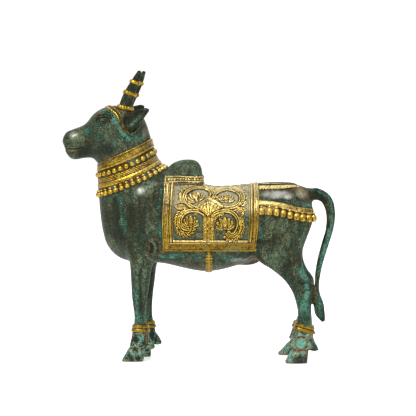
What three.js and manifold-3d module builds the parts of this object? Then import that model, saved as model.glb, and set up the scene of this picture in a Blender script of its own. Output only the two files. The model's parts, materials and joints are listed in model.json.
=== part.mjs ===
// A standing Nandi bull, one bronze casting with a gilded harness, saddle cloth and anklets.
// Millimetres, +Z up, the muzzle towards -X and the left flank towards -Y.

import * as THREE from 'three';
import { LoftGeometry } from 'three/addons/geometries/LoftGeometry.js';
import { mergeVertices } from 'three/addons/utils/BufferGeometryUtils.js';
import Module from 'manifold-3d';

const wasm = await Module();
wasm.setup();

// The figure's own canon: every station below is a share of its height, in 335ths.
const figureHeight = 335;
const canon = 335;
const unit = figureHeight / canon;

// Thickness of the ornament over the skin, and the sizes of what repeats in it.
const bandLift = 1.4;
const borderLift = 2.3;
const scrollLift = 2.2;
const strapLift = 2.4;
const ringLift = 1.6;
const scrollWidth = 3.4;
const upperBead = 2.7;
const upperBeadCount = 26;
const lowerBead = 3.2;
const lowerBeadCount = 28;
const beadRise = 0.2;
const bellWidth = 5.4;
const bellLength = 8.5;
const mouthGap = 1.8;

// A moulded band stands at its full lift over these shares of its width.
const flatProfile = [0.15, 0.85];
const roundProfile = [0.5];

// Stations of the trunk, muzzle to rump, cut across the body from its upper outline to its lower
// one: [upper x, upper z, lower x, lower z, half width, fullness of the lower half].
const trunkStations = [
  [-158, 254.5, -157.5, 250, 4.5, 0],
  [-156.5, 258.5, -155.5, 246, 9, 0],
  [-153, 263.5, -153.5, 239, 13.5, 0],
  [-146, 266.5, -146.5, 232, 15.5, -0.05],
  [-132, 272.5, -131.5, 233.5, 16, -0.1],
  [-122, 284, -125, 233.5, 20, -0.15],
  [-113.5, 290, -121.5, 232, 23, -0.2],
  [-103, 293.5, -120, 230.5, 24, -0.2],
  [-90, 293.5, -119, 229.5, 25.5, -0.15],
  [-77.5, 289.5, -118.5, 228.5, 26.5, -0.1],
  [-65, 281, -118, 228, 27, -0.05],
  [-55.5, 255.5, -117, 227, 28, 0],
  [-53, 246.5, -117, 219, 29.5, 0],
  [-47.5, 232, -116.5, 205, 32, 0],
  [-37.5, 221, -116, 187, 36.5, -0.05],
  [-29.5, 219, -114.5, 169, 40, -0.1],
  [-24, 216.5, -111.5, 148.5, 42.5, -0.1],
  [-19.5, 214, -106, 131.5, 44, -0.1],
  [-14, 211, -93.5, 118.5, 44.5, -0.05],
  [-8, 207, -74, 112.5, 45, 0],
  [-2.5, 204, -46, 112, 45.5, 0.1],
  [21, 200, 9, 102, 48, 0.12],
  [51, 202, 47.5, 110, 47, 0.1],
  [81, 205.5, 80, 122, 47, 0],
  [109, 204, 109, 142.5, 46.5, 0],
  [127, 192.5, 127, 156.5, 31, 0],
  [131, 182, 131, 167, 15, 0],
];

// Further sections where the outline turns fast between two stations.
const trunkExtra = [2.5, 10.5];

// Where the collar's parts lie, in trunk stations counted from the muzzle. It hangs lower at the
// sides than a flat cut would, by a share of a station.
const collarBands = [
  { from: 11, to: 12, lift: bandLift, profile: flatProfile },
  { from: 12.75, to: 13.4, lift: bandLift, profile: flatProfile },
];
const upperBeadStation = 12.38;
const lowerBeadStation = 13.75;
const collarSag = { from: 10, to: 15, depth: 0.22 };

// The hump stands over the withers and leans back: [upper x, z, lower x, z, half width, fullness].
const humpStations = [
  [-37.5, 221, -37, 208, 6, 0],
  [-31.5, 227, -31.5, 200, 13, 0.1],
  [-22, 231, -22, 194, 17.5, 0.15],
  [-12.5, 232, -12.5, 190, 19, 0.15],
  [-4, 231, -4, 188, 18.5, 0.15],
  [2.2, 224.5, 2.2, 188, 16.5, 0.15],
  [4.6, 210.5, 4.6, 188, 11, 0.1],
];

// Legs, from inside the body down to the coronet: [front x, z, rear x, z, half width, centre y].
const frontLegStations = [
  [-96, 182, -50, 178, 13, -22],
  [-92, 153.5, -46.5, 151, 17.5, -25.5],
  [-87, 131.5, -47.5, 130.5, 17.5, -26],
  [-80.5, 117.5, -49.5, 119, 14.5, -24.5],
  [-79, 106, -54, 107.5, 12.5, -24],
  [-78, 89, -57, 89, 10.5, -23.5],
  [-77, 72.5, -59.5, 72.5, 9, -23],
  [-74.5, 52, -61, 52, 8, -22.5],
  [-75, 42.5, -60, 42.5, 8.5, -22],
  [-77, 32.5, -58, 32.5, 9.5, -22],
  [-79, 19, -57, 20.5, 10.5, -22],
];
const frontAnklet = { from: 8.03, to: 8.83, lift: ringLift, profile: flatProfile };
const hindLegStations = [
  [70, 180.5, 130.5, 182, 20, -25],
  [64, 157.5, 131, 163.5, 22.5, -28],
  [62.5, 137, 126.3, 149, 21.5, -30],
  [66, 118.5, 119.5, 130, 18, -31.5],
  [83, 106.5, 118, 115.5, 14.5, -33],
  [98, 94, 122.5, 102, 11, -34.5],
  [107, 80.5, 130, 90, 9, -36],
  [111, 68, 130, 75, 8, -36.5],
  [113, 57.5, 128, 61, 7.3, -37],
  [112.5, 47.5, 128.5, 48.5, 7.5, -37.5],
  [108, 33.5, 131, 32.5, 9.5, -38],
  [105, 19, 130, 20.5, 10.5, -38],
];
const hindAnklet = { from: 9.2, to: 9.9, lift: ringLift, profile: flatProfile };
const rightHindAnklet = { ...hindAnklet, from: 9.53, to: 10.2 };

// A hoof, from the coronet down to the sole, about the middle of its sole.
const hoofStations = [
  [-2, 24, 15, 25.5, 9, 0],
  [-5.5, 15, 13.5, 16, 10.5, 0],
  [-10.5, 7, 12.5, 9, 11.2, 0],
  [-13.5, 0, 12, 0, 11.5, 0],
];
const frontHoofX = -75.5;
const hindHoofX = 112;
const frontHoofY = -22;
const hindHoofY = -38;
// The cleft is a wedge open at the toe: how wide there, and how far it runs back.
const cleftWidth = 4.3;
const cleftLength = 26;
const cleftHeight = 15;
const hoofReach = 20;
const dewclawRadius = 5.5;
const dewclawLength = 13;
const dewclawAngle = 120;
const dewclawApart = 5;
const dewclawPlace = [18, 19];

// The right legs are set a little out of step with the left ones: by a whole amount, which fades out
// over the thigh, and by a reach that is full at the sole and eases off further up. The right horn
// leans back from its foot, and the right ear stands higher.
const frontStep = { whole: 0, reach: 7, ease: 0.5 };
const hindStep = { whole: 5.5, reach: -11.5, ease: 8 };
const legTop = 185;
const stepFade = 90;
const hornStep = 4.5;
const earStep = { reach: -8, rise: 4 };

// The tail leaves the rump, hangs behind the left hock and ends in a tuft.
const tailStations = [
  [114, 203, 117, 181, 7, 0],
  [127, 199, 129, 184, 6.6, 0],
  [136.5, 198.8, 136, 184.5, 6, 0],
  [147, 194.5, 141.5, 182.5, 5.2, 0],
  [155, 185.5, 145.5, 175.5, 4.8, -1],
  [158, 170, 147.3, 166.5, 4.5, -3],
  [156, 152.5, 146.3, 151.5, 4.2, -8],
  [150.5, 135, 141.7, 136.5, 3.9, -13],
  [144.5, 117.5, 136.7, 119.5, 3.6, -19],
  [140, 100.5, 133.3, 101.5, 3.4, -25],
  [138, 86.5, 132.5, 87, 3.6, -29],
  [139.5, 77, 132, 76, 4.6, -31],
  [143, 68, 131.5, 65, 5.2, -32],
  [144.5, 57.5, 132.8, 55.5, 4.6, -32],
  [145.5, 46.5, 140.5, 45.5, 1.6, -31],
];

// The sheath lies along the belly behind the girth.
const sheathPlace = [54, 0, 115.8];
const sheathSize = [19, 7, 7.8];
const webPlace = [131, -32.5, 78];
const webSize = [4, 3, 12];

// Horns and ears: [upper x, z, lower x, z, half thickness, centre y].
const hornStations = [
  [-93.5, 290, -79, 287, 6.8, -9],
  [-90.3, 299.5, -76.5, 296, 6, -12],
  [-86, 309.5, -73.5, 305, 5.2, -14],
  [-80, 319.5, -70, 315.5, 4.3, -14.5],
  [-74.5, 328, -67.5, 325, 3, -13.5],
  [-70, 334.8, -66, 333.5, 1.5, -12],
];
const [hornFoot, hornTip] = [hornStations[0][1], hornStations.at(-1)[1]];
const hornRings = [[0.1, 0.7], [1.75, 2.35], [3.05, 3.6]].map(([from, to]) =>
  ({ from, to, lift: ringLift, profile: roundProfile }));
const earStations = [
  [-88, 277, -90, 270, 2.5, -20],
  [-83, 285, -86.5, 267, 3.2, -24],
  [-74, 288.5, -77.5, 265.5, 3, -29],
  [-66, 290.5, -69, 271, 2.6, -33.5],
  [-60, 291.5, -62, 279.5, 2, -37],
  [-56, 290, -56.5, 287, 1, -39],
];

// The side view of the saddle cloth, the harness and the scrolls: x, z in the same canon.
const clothOutline = [
  [-39, 213], [-42, 162], [-40.5, 128.5], [64.5, 128.5], [67.5, 156], [68.5, 190], [68, 207],
];
const panelOutline = [[-29.5, 204], [-31.5, 162], [-29, 140.5], [57, 140.5], [59, 206]];
const yokeOutline = [[-38, 212.5], [4, 211.5], [7, 204.5], [-33, 205.5]];
const scrollLoops = [
  { centre: [-6.5, 164.5], radius: [15, 13], startAngle: 10, endAngle: 235 },
  { centre: [29.5, 163], radius: [15.5, 13.5], startAngle: 165, endAngle: -60 },
  { centre: [-2.8, 189.6], radius: [14, 11], startAngle: -75, endAngle: -385 },
  { centre: [32.8, 187.5], radius: [14.2, 10.3], startAngle: -105, endAngle: 205 },
];
const lotuses = [
  { foot: [-10, 157], leanAngle: 5 },
  { foot: [31.5, 156], leanAngle: -15 },
  { foot: [0.5, 185.5], leanAngle: -30 },
  { foot: [28, 183.5], leanAngle: 35 },
];
const lotusSize = 11.5;
const lotusNotch = 7;
const petalAngle = 38;
const petalSteps = [-2, -1, 0, 1, 2];
const stemOutline = [[5, 140], [4.5, 162], [11.3, 171], [18, 162], [17.5, 140]];
const fanCentre = [12.3, 170.5];
const fanRadii = [7.5, 15];
const fanHalfAngle = 55;
const finials = [
  { foot: [-18.5, 174], leanAngle: -65, length: 9 },
  { foot: [43, 175], leanAngle: 95, length: 10 },
  { foot: [-21, 187], leanAngle: 0, length: 10 },
  { foot: [51.5, 184], leanAngle: 0, length: 13 },
];
const finialWidth = 3;
const upperStrap = [[67, 203], [90, 203], [113, 206], [113, 202], [90, 198.5], [67, 198.5]];
const lowerStrapTop = [[67, 186], [98, 182.5], [132, 176.5], [140, 176.5], [140, 169]];
const bellRow = { first: [71.5, 180.5], last: [128, 172.5], count: 9 };
const girthOutline = [[7.5, 129], [7.5, 100], [15, 100], [15, 129]];
const browBand = [
  [-106, 296], [-93, 283.5], [-88.5, 274], [-84, 263], [-80, 264], [-84.5, 276], [-90, 287], [-101, 296],
];

// Small features of the head.
const eyePlace = [-110, 19.5, 279];
const eyeSize = [5.6, 3.2, 3.6];
const nostrilPlace = [-153.5, 9.5, 256.5];
const nostrilSize = [2.2, 2.4, 1.4];
const mouthLine = { from: [-158, 243], to: [-131, 246] };
// Half the width of the head that the mouth's cut leaves standing.
const mouthCore = 12.5;
const mouthDepth = 5;

const bronze = new THREE.MeshStandardMaterial({ color: 0x3d4f48, roughness: 0.5, metalness: 0.85 });

const left = -1;
const right = 1;
const sides = [left, right];
const radians = THREE.MathUtils.degToRad;

// A closed mesh becomes a solid once its faces share their corners.
function solid(geometry) {
  const bare = new THREE.BufferGeometry().setAttribute('position', geometry.attributes.position);
  if (geometry.index) bare.setIndex(geometry.index);
  const merged = mergeVertices(bare, 1e-4);
  const vertProperties = merged.attributes.position.array;
  const triVerts = Uint32Array.from(merged.index.array);
  return new wasm.Manifold(new wasm.Mesh({ numProp: 3, vertProperties, triVerts }));
}

const join = (solids) => solids.reduce((whole, next) => whole.add(next));

function geometryOf(manifold) {
  const mesh = manifold.getMesh();
  const geometry = new THREE.BufferGeometry();
  geometry.setAttribute('position', new THREE.BufferAttribute(mesh.vertProperties, 3));
  geometry.setIndex(new THREE.BufferAttribute(mesh.triVerts, 1));
  geometry.computeVertexNormals();
  return geometry;
}

function windingOf(points) {
  return points.reduce((sum, point, k) =>
    sum.add(point.clone().cross(points[(k + 1) % points.length])), new THREE.Vector3());
}

function middleOf(points) {
  return points.reduce((sum, point) => sum.add(point), new THREE.Vector3()).divideScalar(points.length);
}

// A skin is stretched over stations. Its place(station, turn, lift) is a point on it: turn runs
// round the section from the upper or front edge, and lift stands off the surface.
function skinOver(stations, { fullnessAt, centreAt, side = left, squareness = 0.88, bands = [], sag }) {
  const spline = (pick) => new THREE.CatmullRomCurve3(
    stations.map((row) => pick(row).multiplyScalar(unit)), false, 'centripetal');
  const upper = spline((row) => new THREE.Vector3(row[0], 0, row[1]));
  const lower = spline((row) => new THREE.Vector3(row[2], 0, row[3]));
  const last = stations.length - 1;
  const blend = (column, station) => {
    if (column === undefined) return 0;
    const first = Math.min(Math.floor(station), last - 1);
    return THREE.MathUtils.lerp(stations[first][column], stations[first + 1][column], station - first);
  };
  const rounded = (value) => Math.sign(value) * Math.abs(value) ** squareness;

  function sagged(station, turn) {
    if (sag === undefined || station <= sag.from || station >= sag.to) return station;
    const share = (station - sag.from) / (sag.to - sag.from);
    return station + sag.depth * Math.sin(Math.PI * share) * Math.sin(turn) ** 2;
  }

  function place(station, turn, lift = 0) {
    const at = sagged(station, turn);
    const top = upper.getPoint(at / last);
    const bottom = lower.getPoint(at / last);
    const up = top.clone().sub(bottom);
    const half = up.length() / 2;
    up.normalize();
    const width = blend(4, at) * unit;
    const [along, across] = [Math.cos(turn), Math.sin(turn)];
    const outward = new THREE.Vector2(along / half, across / width).normalize().multiplyScalar(lift);
    const fullness = 1 - blend(fullnessAt, at) * along;
    const y = side * (rounded(across) * width * fullness + outward.y - blend(centreAt, at) * unit);
    return top.add(bottom).multiplyScalar(0.5).addScaledVector(up, rounded(along) * half + outward.x).setY(y);
  }

  const ring = (station, count, lift) => Array.from({ length: count }, (unused, k) =>
    place(station, 2 * Math.PI * k / count, lift));

  // Every ring's station with its own lift: the plain ones, and those that mould the bands.
  function ringStations(from, to, extra) {
    const plain = [...stations.keys(), ...extra].filter((station) => station >= from && station <= to)
      .filter((station) => bands.every((band) => station < band.from || station > band.to))
      .map((station) => [station, 0]);
    const moulded = bands.filter((band) => band.from >= from && band.to <= to).flatMap((band) => [
      [band.from, 0],
      ...band.profile.map((share) => [THREE.MathUtils.lerp(band.from, band.to, share), band.lift]),
      [band.to, 0],
    ]);
    return [...plain, ...moulded].sort((one, other) => one[0] - other[0]);
  }

  // The whole skin, or the part of it between two stations, with its ends lifted too. Rings must
  // turn the same way round as the loft runs, so a mirrored form has them reversed.
  function body({ count, lift = 0, from = 0, to = last, extra = [] }) {
    const rings = ringStations(from, to, extra).map(([station, own]) => ring(station, count, own + lift));
    const ends = [[rings[0], rings[1]], [rings.at(-1), rings.at(-2)]];
    for (const [end, inner] of ends) {
      const outward = middleOf(end).sub(middleOf(inner)).setLength(lift);
      end.forEach((point) => point.add(outward));
    }
    const runsWith = windingOf(rings[0]).dot(middleOf(rings[1]).sub(middleOf(rings[0]))) > 0;
    const wound = runsWith ? rings : rings.map((points) => points.reverse());
    return solid(new LoftGeometry(wound, { closed: true, capStart: true, capEnd: true }));
  }

  return { place, body };
}

const trunk = skinOver(trunkStations, { fullnessAt: 5, bands: collarBands, sag: collarSag });
const hump = skinOver(humpStations, { fullnessAt: 5 });
const trunkForm = (lift) => trunk.body({ count: 18, lift, extra: trunkExtra });
const humpForm = (lift) => hump.body({ count: 12, lift });

// The same stations moved, by one amount or by a function of their height.
function moved(stations, { x = () => 0, z = 0, y = 0 }) {
  return stations.map(([upperX, upperZ, lowerX, lowerZ, width, centre]) => {
    const shift = x((upperZ + lowerZ) / 2);
    return [upperX + shift, upperZ + z, lowerX + shift, lowerZ + z, width, centre + y];
  });
}

// A right-hand leg is the left one mirrored and moved on by its step.
const stepAt = ({ whole, reach, ease }, side) => (height) =>
  side === left ? 0 : whole * THREE.MathUtils.clamp((legTop - height) / stepFade, 0, 1)
    + reach * Math.max(0, 1 - height / legTop) ** ease;

function legOf(stations, side, step, anklet) {
  return skinOver(moved(stations, { x: stepAt(step, side) }), { centreAt: 5, side, bands: [anklet] });
}

// A plate of any outline in the side view, running right across the figure.
function plate(shape) {
  const reach = 70 * unit;
  const slab = new THREE.ExtrudeGeometry(shape, { depth: 2 * reach, bevelEnabled: false, curveSegments: 2 });
  slab.translate(0, 0, -reach);
  slab.rotateX(Math.PI / 2);
  return solid(slab);
}

const outline = (points) => new THREE.Shape(points.map(([x, z]) => new THREE.Vector2(x * unit, z * unit)));

// A ribbon of even width along a list of points.
function ribbon(points, width) {
  const edges = [left, right].map((side) => points.map((point, k) => {
    const before = points[Math.max(k - 1, 0)];
    const after = points[Math.min(k + 1, points.length - 1)];
    const across = after.clone().sub(before).normalize().rotateAround(new THREE.Vector2(), Math.PI / 2);
    return point.clone().addScaledVector(across, side * width / 2);
  }));
  return new THREE.Shape([...edges[0], ...edges[1].reverse()]);
}

function arcPoints({ centre, radius, startAngle, endAngle }, count) {
  return Array.from({ length: count + 1 }, (unused, k) => {
    const angle = radians(THREE.MathUtils.lerp(startAngle, endAngle, k / count));
    return new THREE.Vector2(
      (centre[0] + radius[0] * Math.cos(angle)) * unit,
      (centre[1] + radius[1] * Math.sin(angle)) * unit);
  });
}

// One pointed leaf, growing from its foot with a lean from upright.
function leaf({ foot: [x, z], leanAngle, length }) {
  const foot = new THREE.Vector2(x * unit, z * unit);
  const turned = (across, along) => new THREE.Vector2(across * unit, along * unit)
    .rotateAround(new THREE.Vector2(), -radians(leanAngle)).add(foot);
  const [a, c] = [turned(0, 0), turned(0, length)];
  const [b, d] = [turned(finialWidth, length / 2), turned(-finialWidth, length / 2)];
  const shape = new THREE.Shape();
  shape.moveTo(a.x, a.y);
  shape.quadraticCurveTo(b.x, b.y, c.x, c.y);
  shape.quadraticCurveTo(d.x, d.y, a.x, a.y);
  return shape;
}

// A lotus seen from the side: pointed petals spread over a round foot.
function lotus({ foot: [x, z], leanAngle }) {
  const at = (radius, turn) => {
    const angle = radians(90 - leanAngle - turn);
    return [x + radius * Math.cos(angle), z + radius * Math.sin(angle)];
  };
  const petals = petalSteps.flatMap((step) =>
    [at(lotusSize, step * petalAngle), at(lotusNotch, (step + 0.5) * petalAngle)]);
  return plate(outline([...petals.slice(0, -1), at(lotusNotch / 3, 180)]));
}

function fan() {
  const [low, high] = [90 - fanHalfAngle, 90 + fanHalfAngle];
  const arc = (radius, startAngle, endAngle) =>
    arcPoints({ centre: fanCentre, radius: [radius, radius], startAngle, endAngle }, 5);
  return plate(new THREE.Shape([...arc(fanRadii[1], low, high), ...arc(fanRadii[0], high, low)]));
}

// The body under the ornament, grown by a lift, that plates are cut from.
const frontSides = 8;
const hindSides = 10;
const frontLegs = sides.map((side) => legOf(frontLegStations, side, frontStep, frontAnklet));
const hindLegs = sides.map((side) =>
  legOf(hindLegStations, side, hindStep, side === left ? hindAnklet : rightHindAnklet));
const thighForm = (lift) => join(hindLegs.map((leg) => leg.body({ count: hindSides, lift, to: 3 })));
const grown = (lift) => join([trunkForm(lift), humpForm(lift), thighForm(lift)]);

function saddleCloth() {
  const yoke = plate(outline(yokeOutline));
  const frame = plate(outline(clothOutline)).subtract(plate(outline(panelOutline)));
  return frame.add(yoke).intersect(grown(borderLift));
}

function scrollWork() {
  const loops = scrollLoops.map((loop) => plate(ribbon(arcPoints(loop, 8), scrollWidth * unit)));
  const leaves = finials.map((finial) => plate(leaf(finial)));
  const drawing = join([plate(outline(stemOutline)), fan(), ...loops, ...lotuses.map(lotus), ...leaves]);
  return drawing.intersect(trunkForm(scrollLift)).intersect(plate(outline(panelOutline)));
}

// Beads sit side by side round the collar, their middles a little over the skin.
function beadRing(station, count, radius) {
  return join(Array.from({ length: count }, (unused, k) => {
    const turn = 2 * Math.PI * k / count;
    const foot = trunk.place(station, turn, beadRise * radius * unit);
    const crown = trunk.place(station, turn, radius * unit);
    const bead = new THREE.OctahedronGeometry(radius * unit);
    const outward = crown.clone().sub(foot).normalize();
    bead.applyQuaternion(new THREE.Quaternion().setFromUnitVectors(new THREE.Vector3(0, 1, 0), outward));
    return solid(bead.translate(foot.x, foot.y, foot.z));
  }));
}

const collarBeads = () => beadRing(upperBeadStation, upperBeadCount, upperBead)
  .add(beadRing(lowerBeadStation, lowerBeadCount, lowerBead));

function rumpHarness() {
  const { count, first, last } = bellRow;
  const half = bellWidth / 2;
  const gap = (last[0] - first[0]) / (count - 1) / 2;
  const bellEdge = Array.from({ length: count }, (unused, k) => {
    const [x, z] = first.map((start, axis) => THREE.MathUtils.lerp(start, last[axis], k / (count - 1)));
    return [[x - gap, z], [x - half, z - bellLength], [x + half, z - bellLength]];
  }).flat();
  const belled = [...lowerStrapTop, ...bellEdge.reverse()];
  return plate(outline(upperStrap)).add(plate(outline(belled))).intersect(grown(strapLift));
}

const girth = () => plate(outline(girthOutline)).intersect(trunkForm(bandLift));

// A hoof with its cleft, and two dewclaws behind the pastern.
function hoof(x, centreY, side, step) {
  const shift = stepAt(step, side);
  const stations = moved(hoofStations, { x: (height) => x + shift(height), y: centreY });
  const form = skinOver(stations, { centreAt: 5, side, squareness: 0.75 });
  const middle = side * -centreY * unit;
  const toe = x + shift(0) - hoofReach;
  const cleft = new THREE.Shape();
  cleft.moveTo(toe * unit, cleftWidth / 2 * unit);
  cleft.lineTo((toe + cleftLength) * unit, 0);
  cleft.lineTo(toe * unit, -cleftWidth / 2 * unit);
  const cut = new THREE.ExtrudeGeometry(cleft, { depth: 2 * cleftHeight * unit, bevelEnabled: false });
  cut.translate(0, middle, -cleftHeight * unit);
  const [clawX, clawZ] = [x + shift(dewclawPlace[1]) + dewclawPlace[0], dewclawPlace[1]];
  const dewclaws = sides.map((hand) => {
    const claw = new THREE.ConeGeometry(dewclawRadius * unit, dewclawLength * unit, 6);
    claw.rotateX(Math.PI / 2).rotateY(radians(dewclawAngle));
    claw.translate(clawX * unit, middle + hand * dewclawApart * unit, clawZ * unit);
    return solid(claw);
  });
  return join([form.body({ count: 8 }), ...dewclaws]).subtract(solid(cut));
}

function legs() {
  const solids = [];
  for (const [k, side] of sides.entries()) {
    solids.push(frontLegs[k].body({ count: frontSides }), hoof(frontHoofX, frontHoofY, side, frontStep));
    solids.push(hindLegs[k].body({ count: hindSides }), hoof(hindHoofX, hindHoofY, side, hindStep));
  }
  return join(solids);
}

// A rounded lump, its poles up and down.
function ball(size, place, count) {
  const form = new THREE.SphereGeometry(1, count, count - 2).rotateX(Math.PI / 2);
  form.scale(...size.map((half) => half * unit));
  return solid(form.translate(...place.map((distance) => distance * unit)));
}

// The tail is cast against the left hock, with a web of metal between them.
function tail() {
  const form = skinOver(tailStations, { centreAt: 5, side: left });
  return form.body({ count: 8 }).add(ball(webSize, webPlace, 6));
}

function horns() {
  return join(sides.map((side) => {
    const lean = (height) => THREE.MathUtils.mapLinear(height, hornFoot, hornTip, 0, hornStep);
    const stations = side === left ? hornStations : moved(hornStations, { x: lean });
    const form = skinOver(stations, { centreAt: 5, side, squareness: 1, bands: hornRings });
    return form.body({ count: 8 });
  }));
}

function ears() {
  return join(sides.map((side) => {
    const stations = side === left ? earStations
      : moved(earStations, { x: () => earStep.reach, z: earStep.rise });
    const form = skinOver(stations, { centreAt: 5, side, squareness: 1 });
    return form.body({ count: 8 });
  }));
}

// The mouth is a line cut round the muzzle, shallow at its corners.
function mouth() {
  const [frontX, frontZ] = mouthLine.from;
  const [cornerX, cornerZ] = mouthLine.to;
  const lips = [frontZ - mouthGap / 2, frontZ + mouthGap / 2];
  const slit = plate(outline([[frontX, lips[0]], [cornerX, cornerZ], [frontX, lips[1]]]));
  const coreLength = 2 * (cornerX - frontX) * unit;
  const core = new THREE.BoxGeometry(coreLength, 2 * mouthCore * unit, 10 * mouthGap * unit);
  core.translate((frontX + mouthDepth) * unit + coreLength / 2, 0, frontZ * unit);
  return slit.subtract(solid(core));
}

function headWithFeatures(figure) {
  const band = plate(outline(browBand)).intersect(trunkForm(bandLift));
  let head = figure.add(band);
  for (const side of sides) {
    const eye = ball(eyeSize, [eyePlace[0], side * eyePlace[1], eyePlace[2]], 8);
    const nostril = ball(nostrilSize, [nostrilPlace[0], side * nostrilPlace[1], nostrilPlace[2]], 6);
    head = head.add(eye).subtract(nostril);
  }
  return head.subtract(mouth());
}

function nandiBull() {
  const sheath = ball(sheathSize, sheathPlace, 8);
  const form = join([trunkForm(0), humpForm(0), legs(), tail(), sheath]);
  const dressed = join([form, collarBeads(), saddleCloth(), scrollWork(), rumpHarness(), girth()]);
  return headWithFeatures(dressed).add(horns()).add(ears());
}

const bull = new THREE.Mesh(geometryOf(nandiBull()), bronze);
bull.name = 'nandi_bull';

const figure = new THREE.Group();
figure.add(bull);

export default figure;
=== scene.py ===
# %% [markdown]
# # A Nandi bull, cast in bronze and gilded
#
# Nandi is the bull that waits before a Shiva shrine. A founder models him in wax with his collar,
# saddle cloth, bells and anklets already on, and pours the whole animal in bronze in one go. The
# skin is then turned green with acids, and the ornaments are gilded and rubbed back.
#
# The lesson follows that order: the bare animal first, then what he wears, then the two finishes.
# Everything is worked out in millimetres and put into Blender in metres.

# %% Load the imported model
import json
import math

import bmesh
import bpy
import numpy as np
from mathutils import Matrix, Vector
from mathutils.bvhtree import BVHTree

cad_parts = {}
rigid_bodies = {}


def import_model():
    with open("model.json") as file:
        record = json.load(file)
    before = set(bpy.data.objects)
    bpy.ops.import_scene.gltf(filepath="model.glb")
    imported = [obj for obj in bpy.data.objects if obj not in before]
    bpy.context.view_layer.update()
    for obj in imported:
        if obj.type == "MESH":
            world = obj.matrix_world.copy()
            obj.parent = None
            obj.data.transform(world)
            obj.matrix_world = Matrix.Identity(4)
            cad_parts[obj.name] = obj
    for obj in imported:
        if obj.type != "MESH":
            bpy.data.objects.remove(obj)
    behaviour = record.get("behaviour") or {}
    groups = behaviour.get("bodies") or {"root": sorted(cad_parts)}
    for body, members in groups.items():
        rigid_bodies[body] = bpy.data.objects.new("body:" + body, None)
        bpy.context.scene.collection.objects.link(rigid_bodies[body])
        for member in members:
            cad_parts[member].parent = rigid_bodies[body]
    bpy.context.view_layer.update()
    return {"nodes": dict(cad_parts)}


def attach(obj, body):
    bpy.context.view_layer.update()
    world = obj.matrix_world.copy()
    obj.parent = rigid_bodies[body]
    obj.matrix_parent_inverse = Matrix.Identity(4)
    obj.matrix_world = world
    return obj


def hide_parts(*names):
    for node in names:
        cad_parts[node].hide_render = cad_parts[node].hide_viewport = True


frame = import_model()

MM = 0.001
LEFT, RIGHT = -1, 1

# %% [markdown]
# ## The camera
#
# The photograph is taken from far away with a long lens, almost level with the belly, so the far
# legs are hardly smaller than the near ones. A long lens a good two metres off gives the same view.

# %% Camera
LENS, SENSOR_WIDTH = 164.6, 36
CAMERA_PLACE = (0.01044, -2.204, 0.2855)
CAMERA_PITCH = 87.138
camera_data = bpy.data.cameras.new("camera")
camera_data.lens = LENS
camera_data.sensor_width = SENSOR_WIDTH
camera = bpy.data.objects.new("camera", camera_data)
camera.location = CAMERA_PLACE
camera.rotation_euler = (math.radians(CAMERA_PITCH), 0, 0)
bpy.context.scene.collection.objects.link(camera)
bpy.context.scene.camera = camera
print("camera", tuple(camera.location))

# %% [markdown]
# ## A skin stretched over cross sections
#
# The trunk, the legs, the horns and the tail are all drawn the same way, as the founder would draw
# them: two lines of the side view, an upper and a lower one, and how wide the form is between
# them. A smooth curve runs through each line, and a rounded cross section is set between the two.

# %% Smooth curve and skin
def along_curve(points, stations):
    """Points of a smooth curve through the given ones; station 0 is the first, 1 the next."""
    points = np.asarray(points, float)
    line = np.vstack([2 * points[0] - points[1], points, 2 * points[-1] - points[-2]])
    first = np.clip(np.floor(stations).astype(int), 0, len(points) - 2)
    share = (stations - first)[:, None]
    a, b, c, d = (line[first + step] for step in range(4))
    ab, bc, cd = (np.maximum(np.linalg.norm(q - p, axis=1), 1e-9)[:, None] ** 0.5
                  for p, q in ((a, b), (b, c), (c, d)))
    leaving = bc * ((b - a) / ab - (c - a) / (ab + bc) + (c - b) / bc)
    arriving = bc * ((c - b) / bc - (d - b) / (bc + cd) + (d - c) / cd)
    square, cube = share ** 2, share ** 3
    return ((2 * cube - 3 * square + 1) * b + (cube - 2 * square + share) * leaving
            + (3 * square - 2 * cube) * c + (cube - square) * arriving)


def skin(table, side=LEFT, squareness=0.88, centred=True, sag=None):
    """A function that gives points on the form at a station, a turn round it and a lift off it."""
    rows = np.array(table, float)

    def place(stations, turns, lifts=0.0):
        at, turns, lifts = (np.array(values, float) for values in np.broadcast_arrays(stations, turns, lifts))
        if sag is not None:
            share = np.clip((at - sag["start"]) / (sag["end"] - sag["start"]), 0, 1)
            at = at + sag["depth"] * np.sin(np.pi * share) * np.sin(turns) ** 2
        at = np.clip(at, 0, len(rows) - 1)
        upper, lower = along_curve(rows[:, :2], at), along_curve(rows[:, 2:4], at)
        half = np.linalg.norm(upper - lower, axis=1) / 2
        up = (upper - lower) / (2 * half[:, None])
        width, extra = (np.interp(at, np.arange(len(rows)), rows[:, column]) for column in (4, 5))
        fullness, centre = (extra, 0) if centred else (0, extra)
        cosine, sine = np.cos(turns), np.sin(turns)
        outward = np.column_stack([cosine / half, sine / width])
        outward *= (lifts / np.linalg.norm(outward, axis=1))[:, None]
        rounded = [np.sign(v) * np.abs(v) ** squareness for v in (cosine, sine)]
        middle = (upper + lower) / 2 + up * (rounded[0] * half + outward[:, 0])[:, None]
        y = side * (rounded[1] * width * (1 - fullness * cosine) + outward[:, 1] - centre)
        return np.column_stack([middle[:, 0], y, middle[:, 1]])

    return place


def turns_round(count):
    """Equal turns once round a form."""
    return np.arange(count) * 2 * np.pi / count


print("skin ready")

# %% [markdown]
# ## From rings to a mesh
#
# A skin becomes a mesh ring by ring: a circle of vertices is laid on the first section, and its
# edges are extruded to each next one. Each vertex carries its number along, so that every extruded
# vertex knows which place of the ring is its own. The two ends are filled, which keeps the form
# closed, as remeshing needs it.

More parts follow.
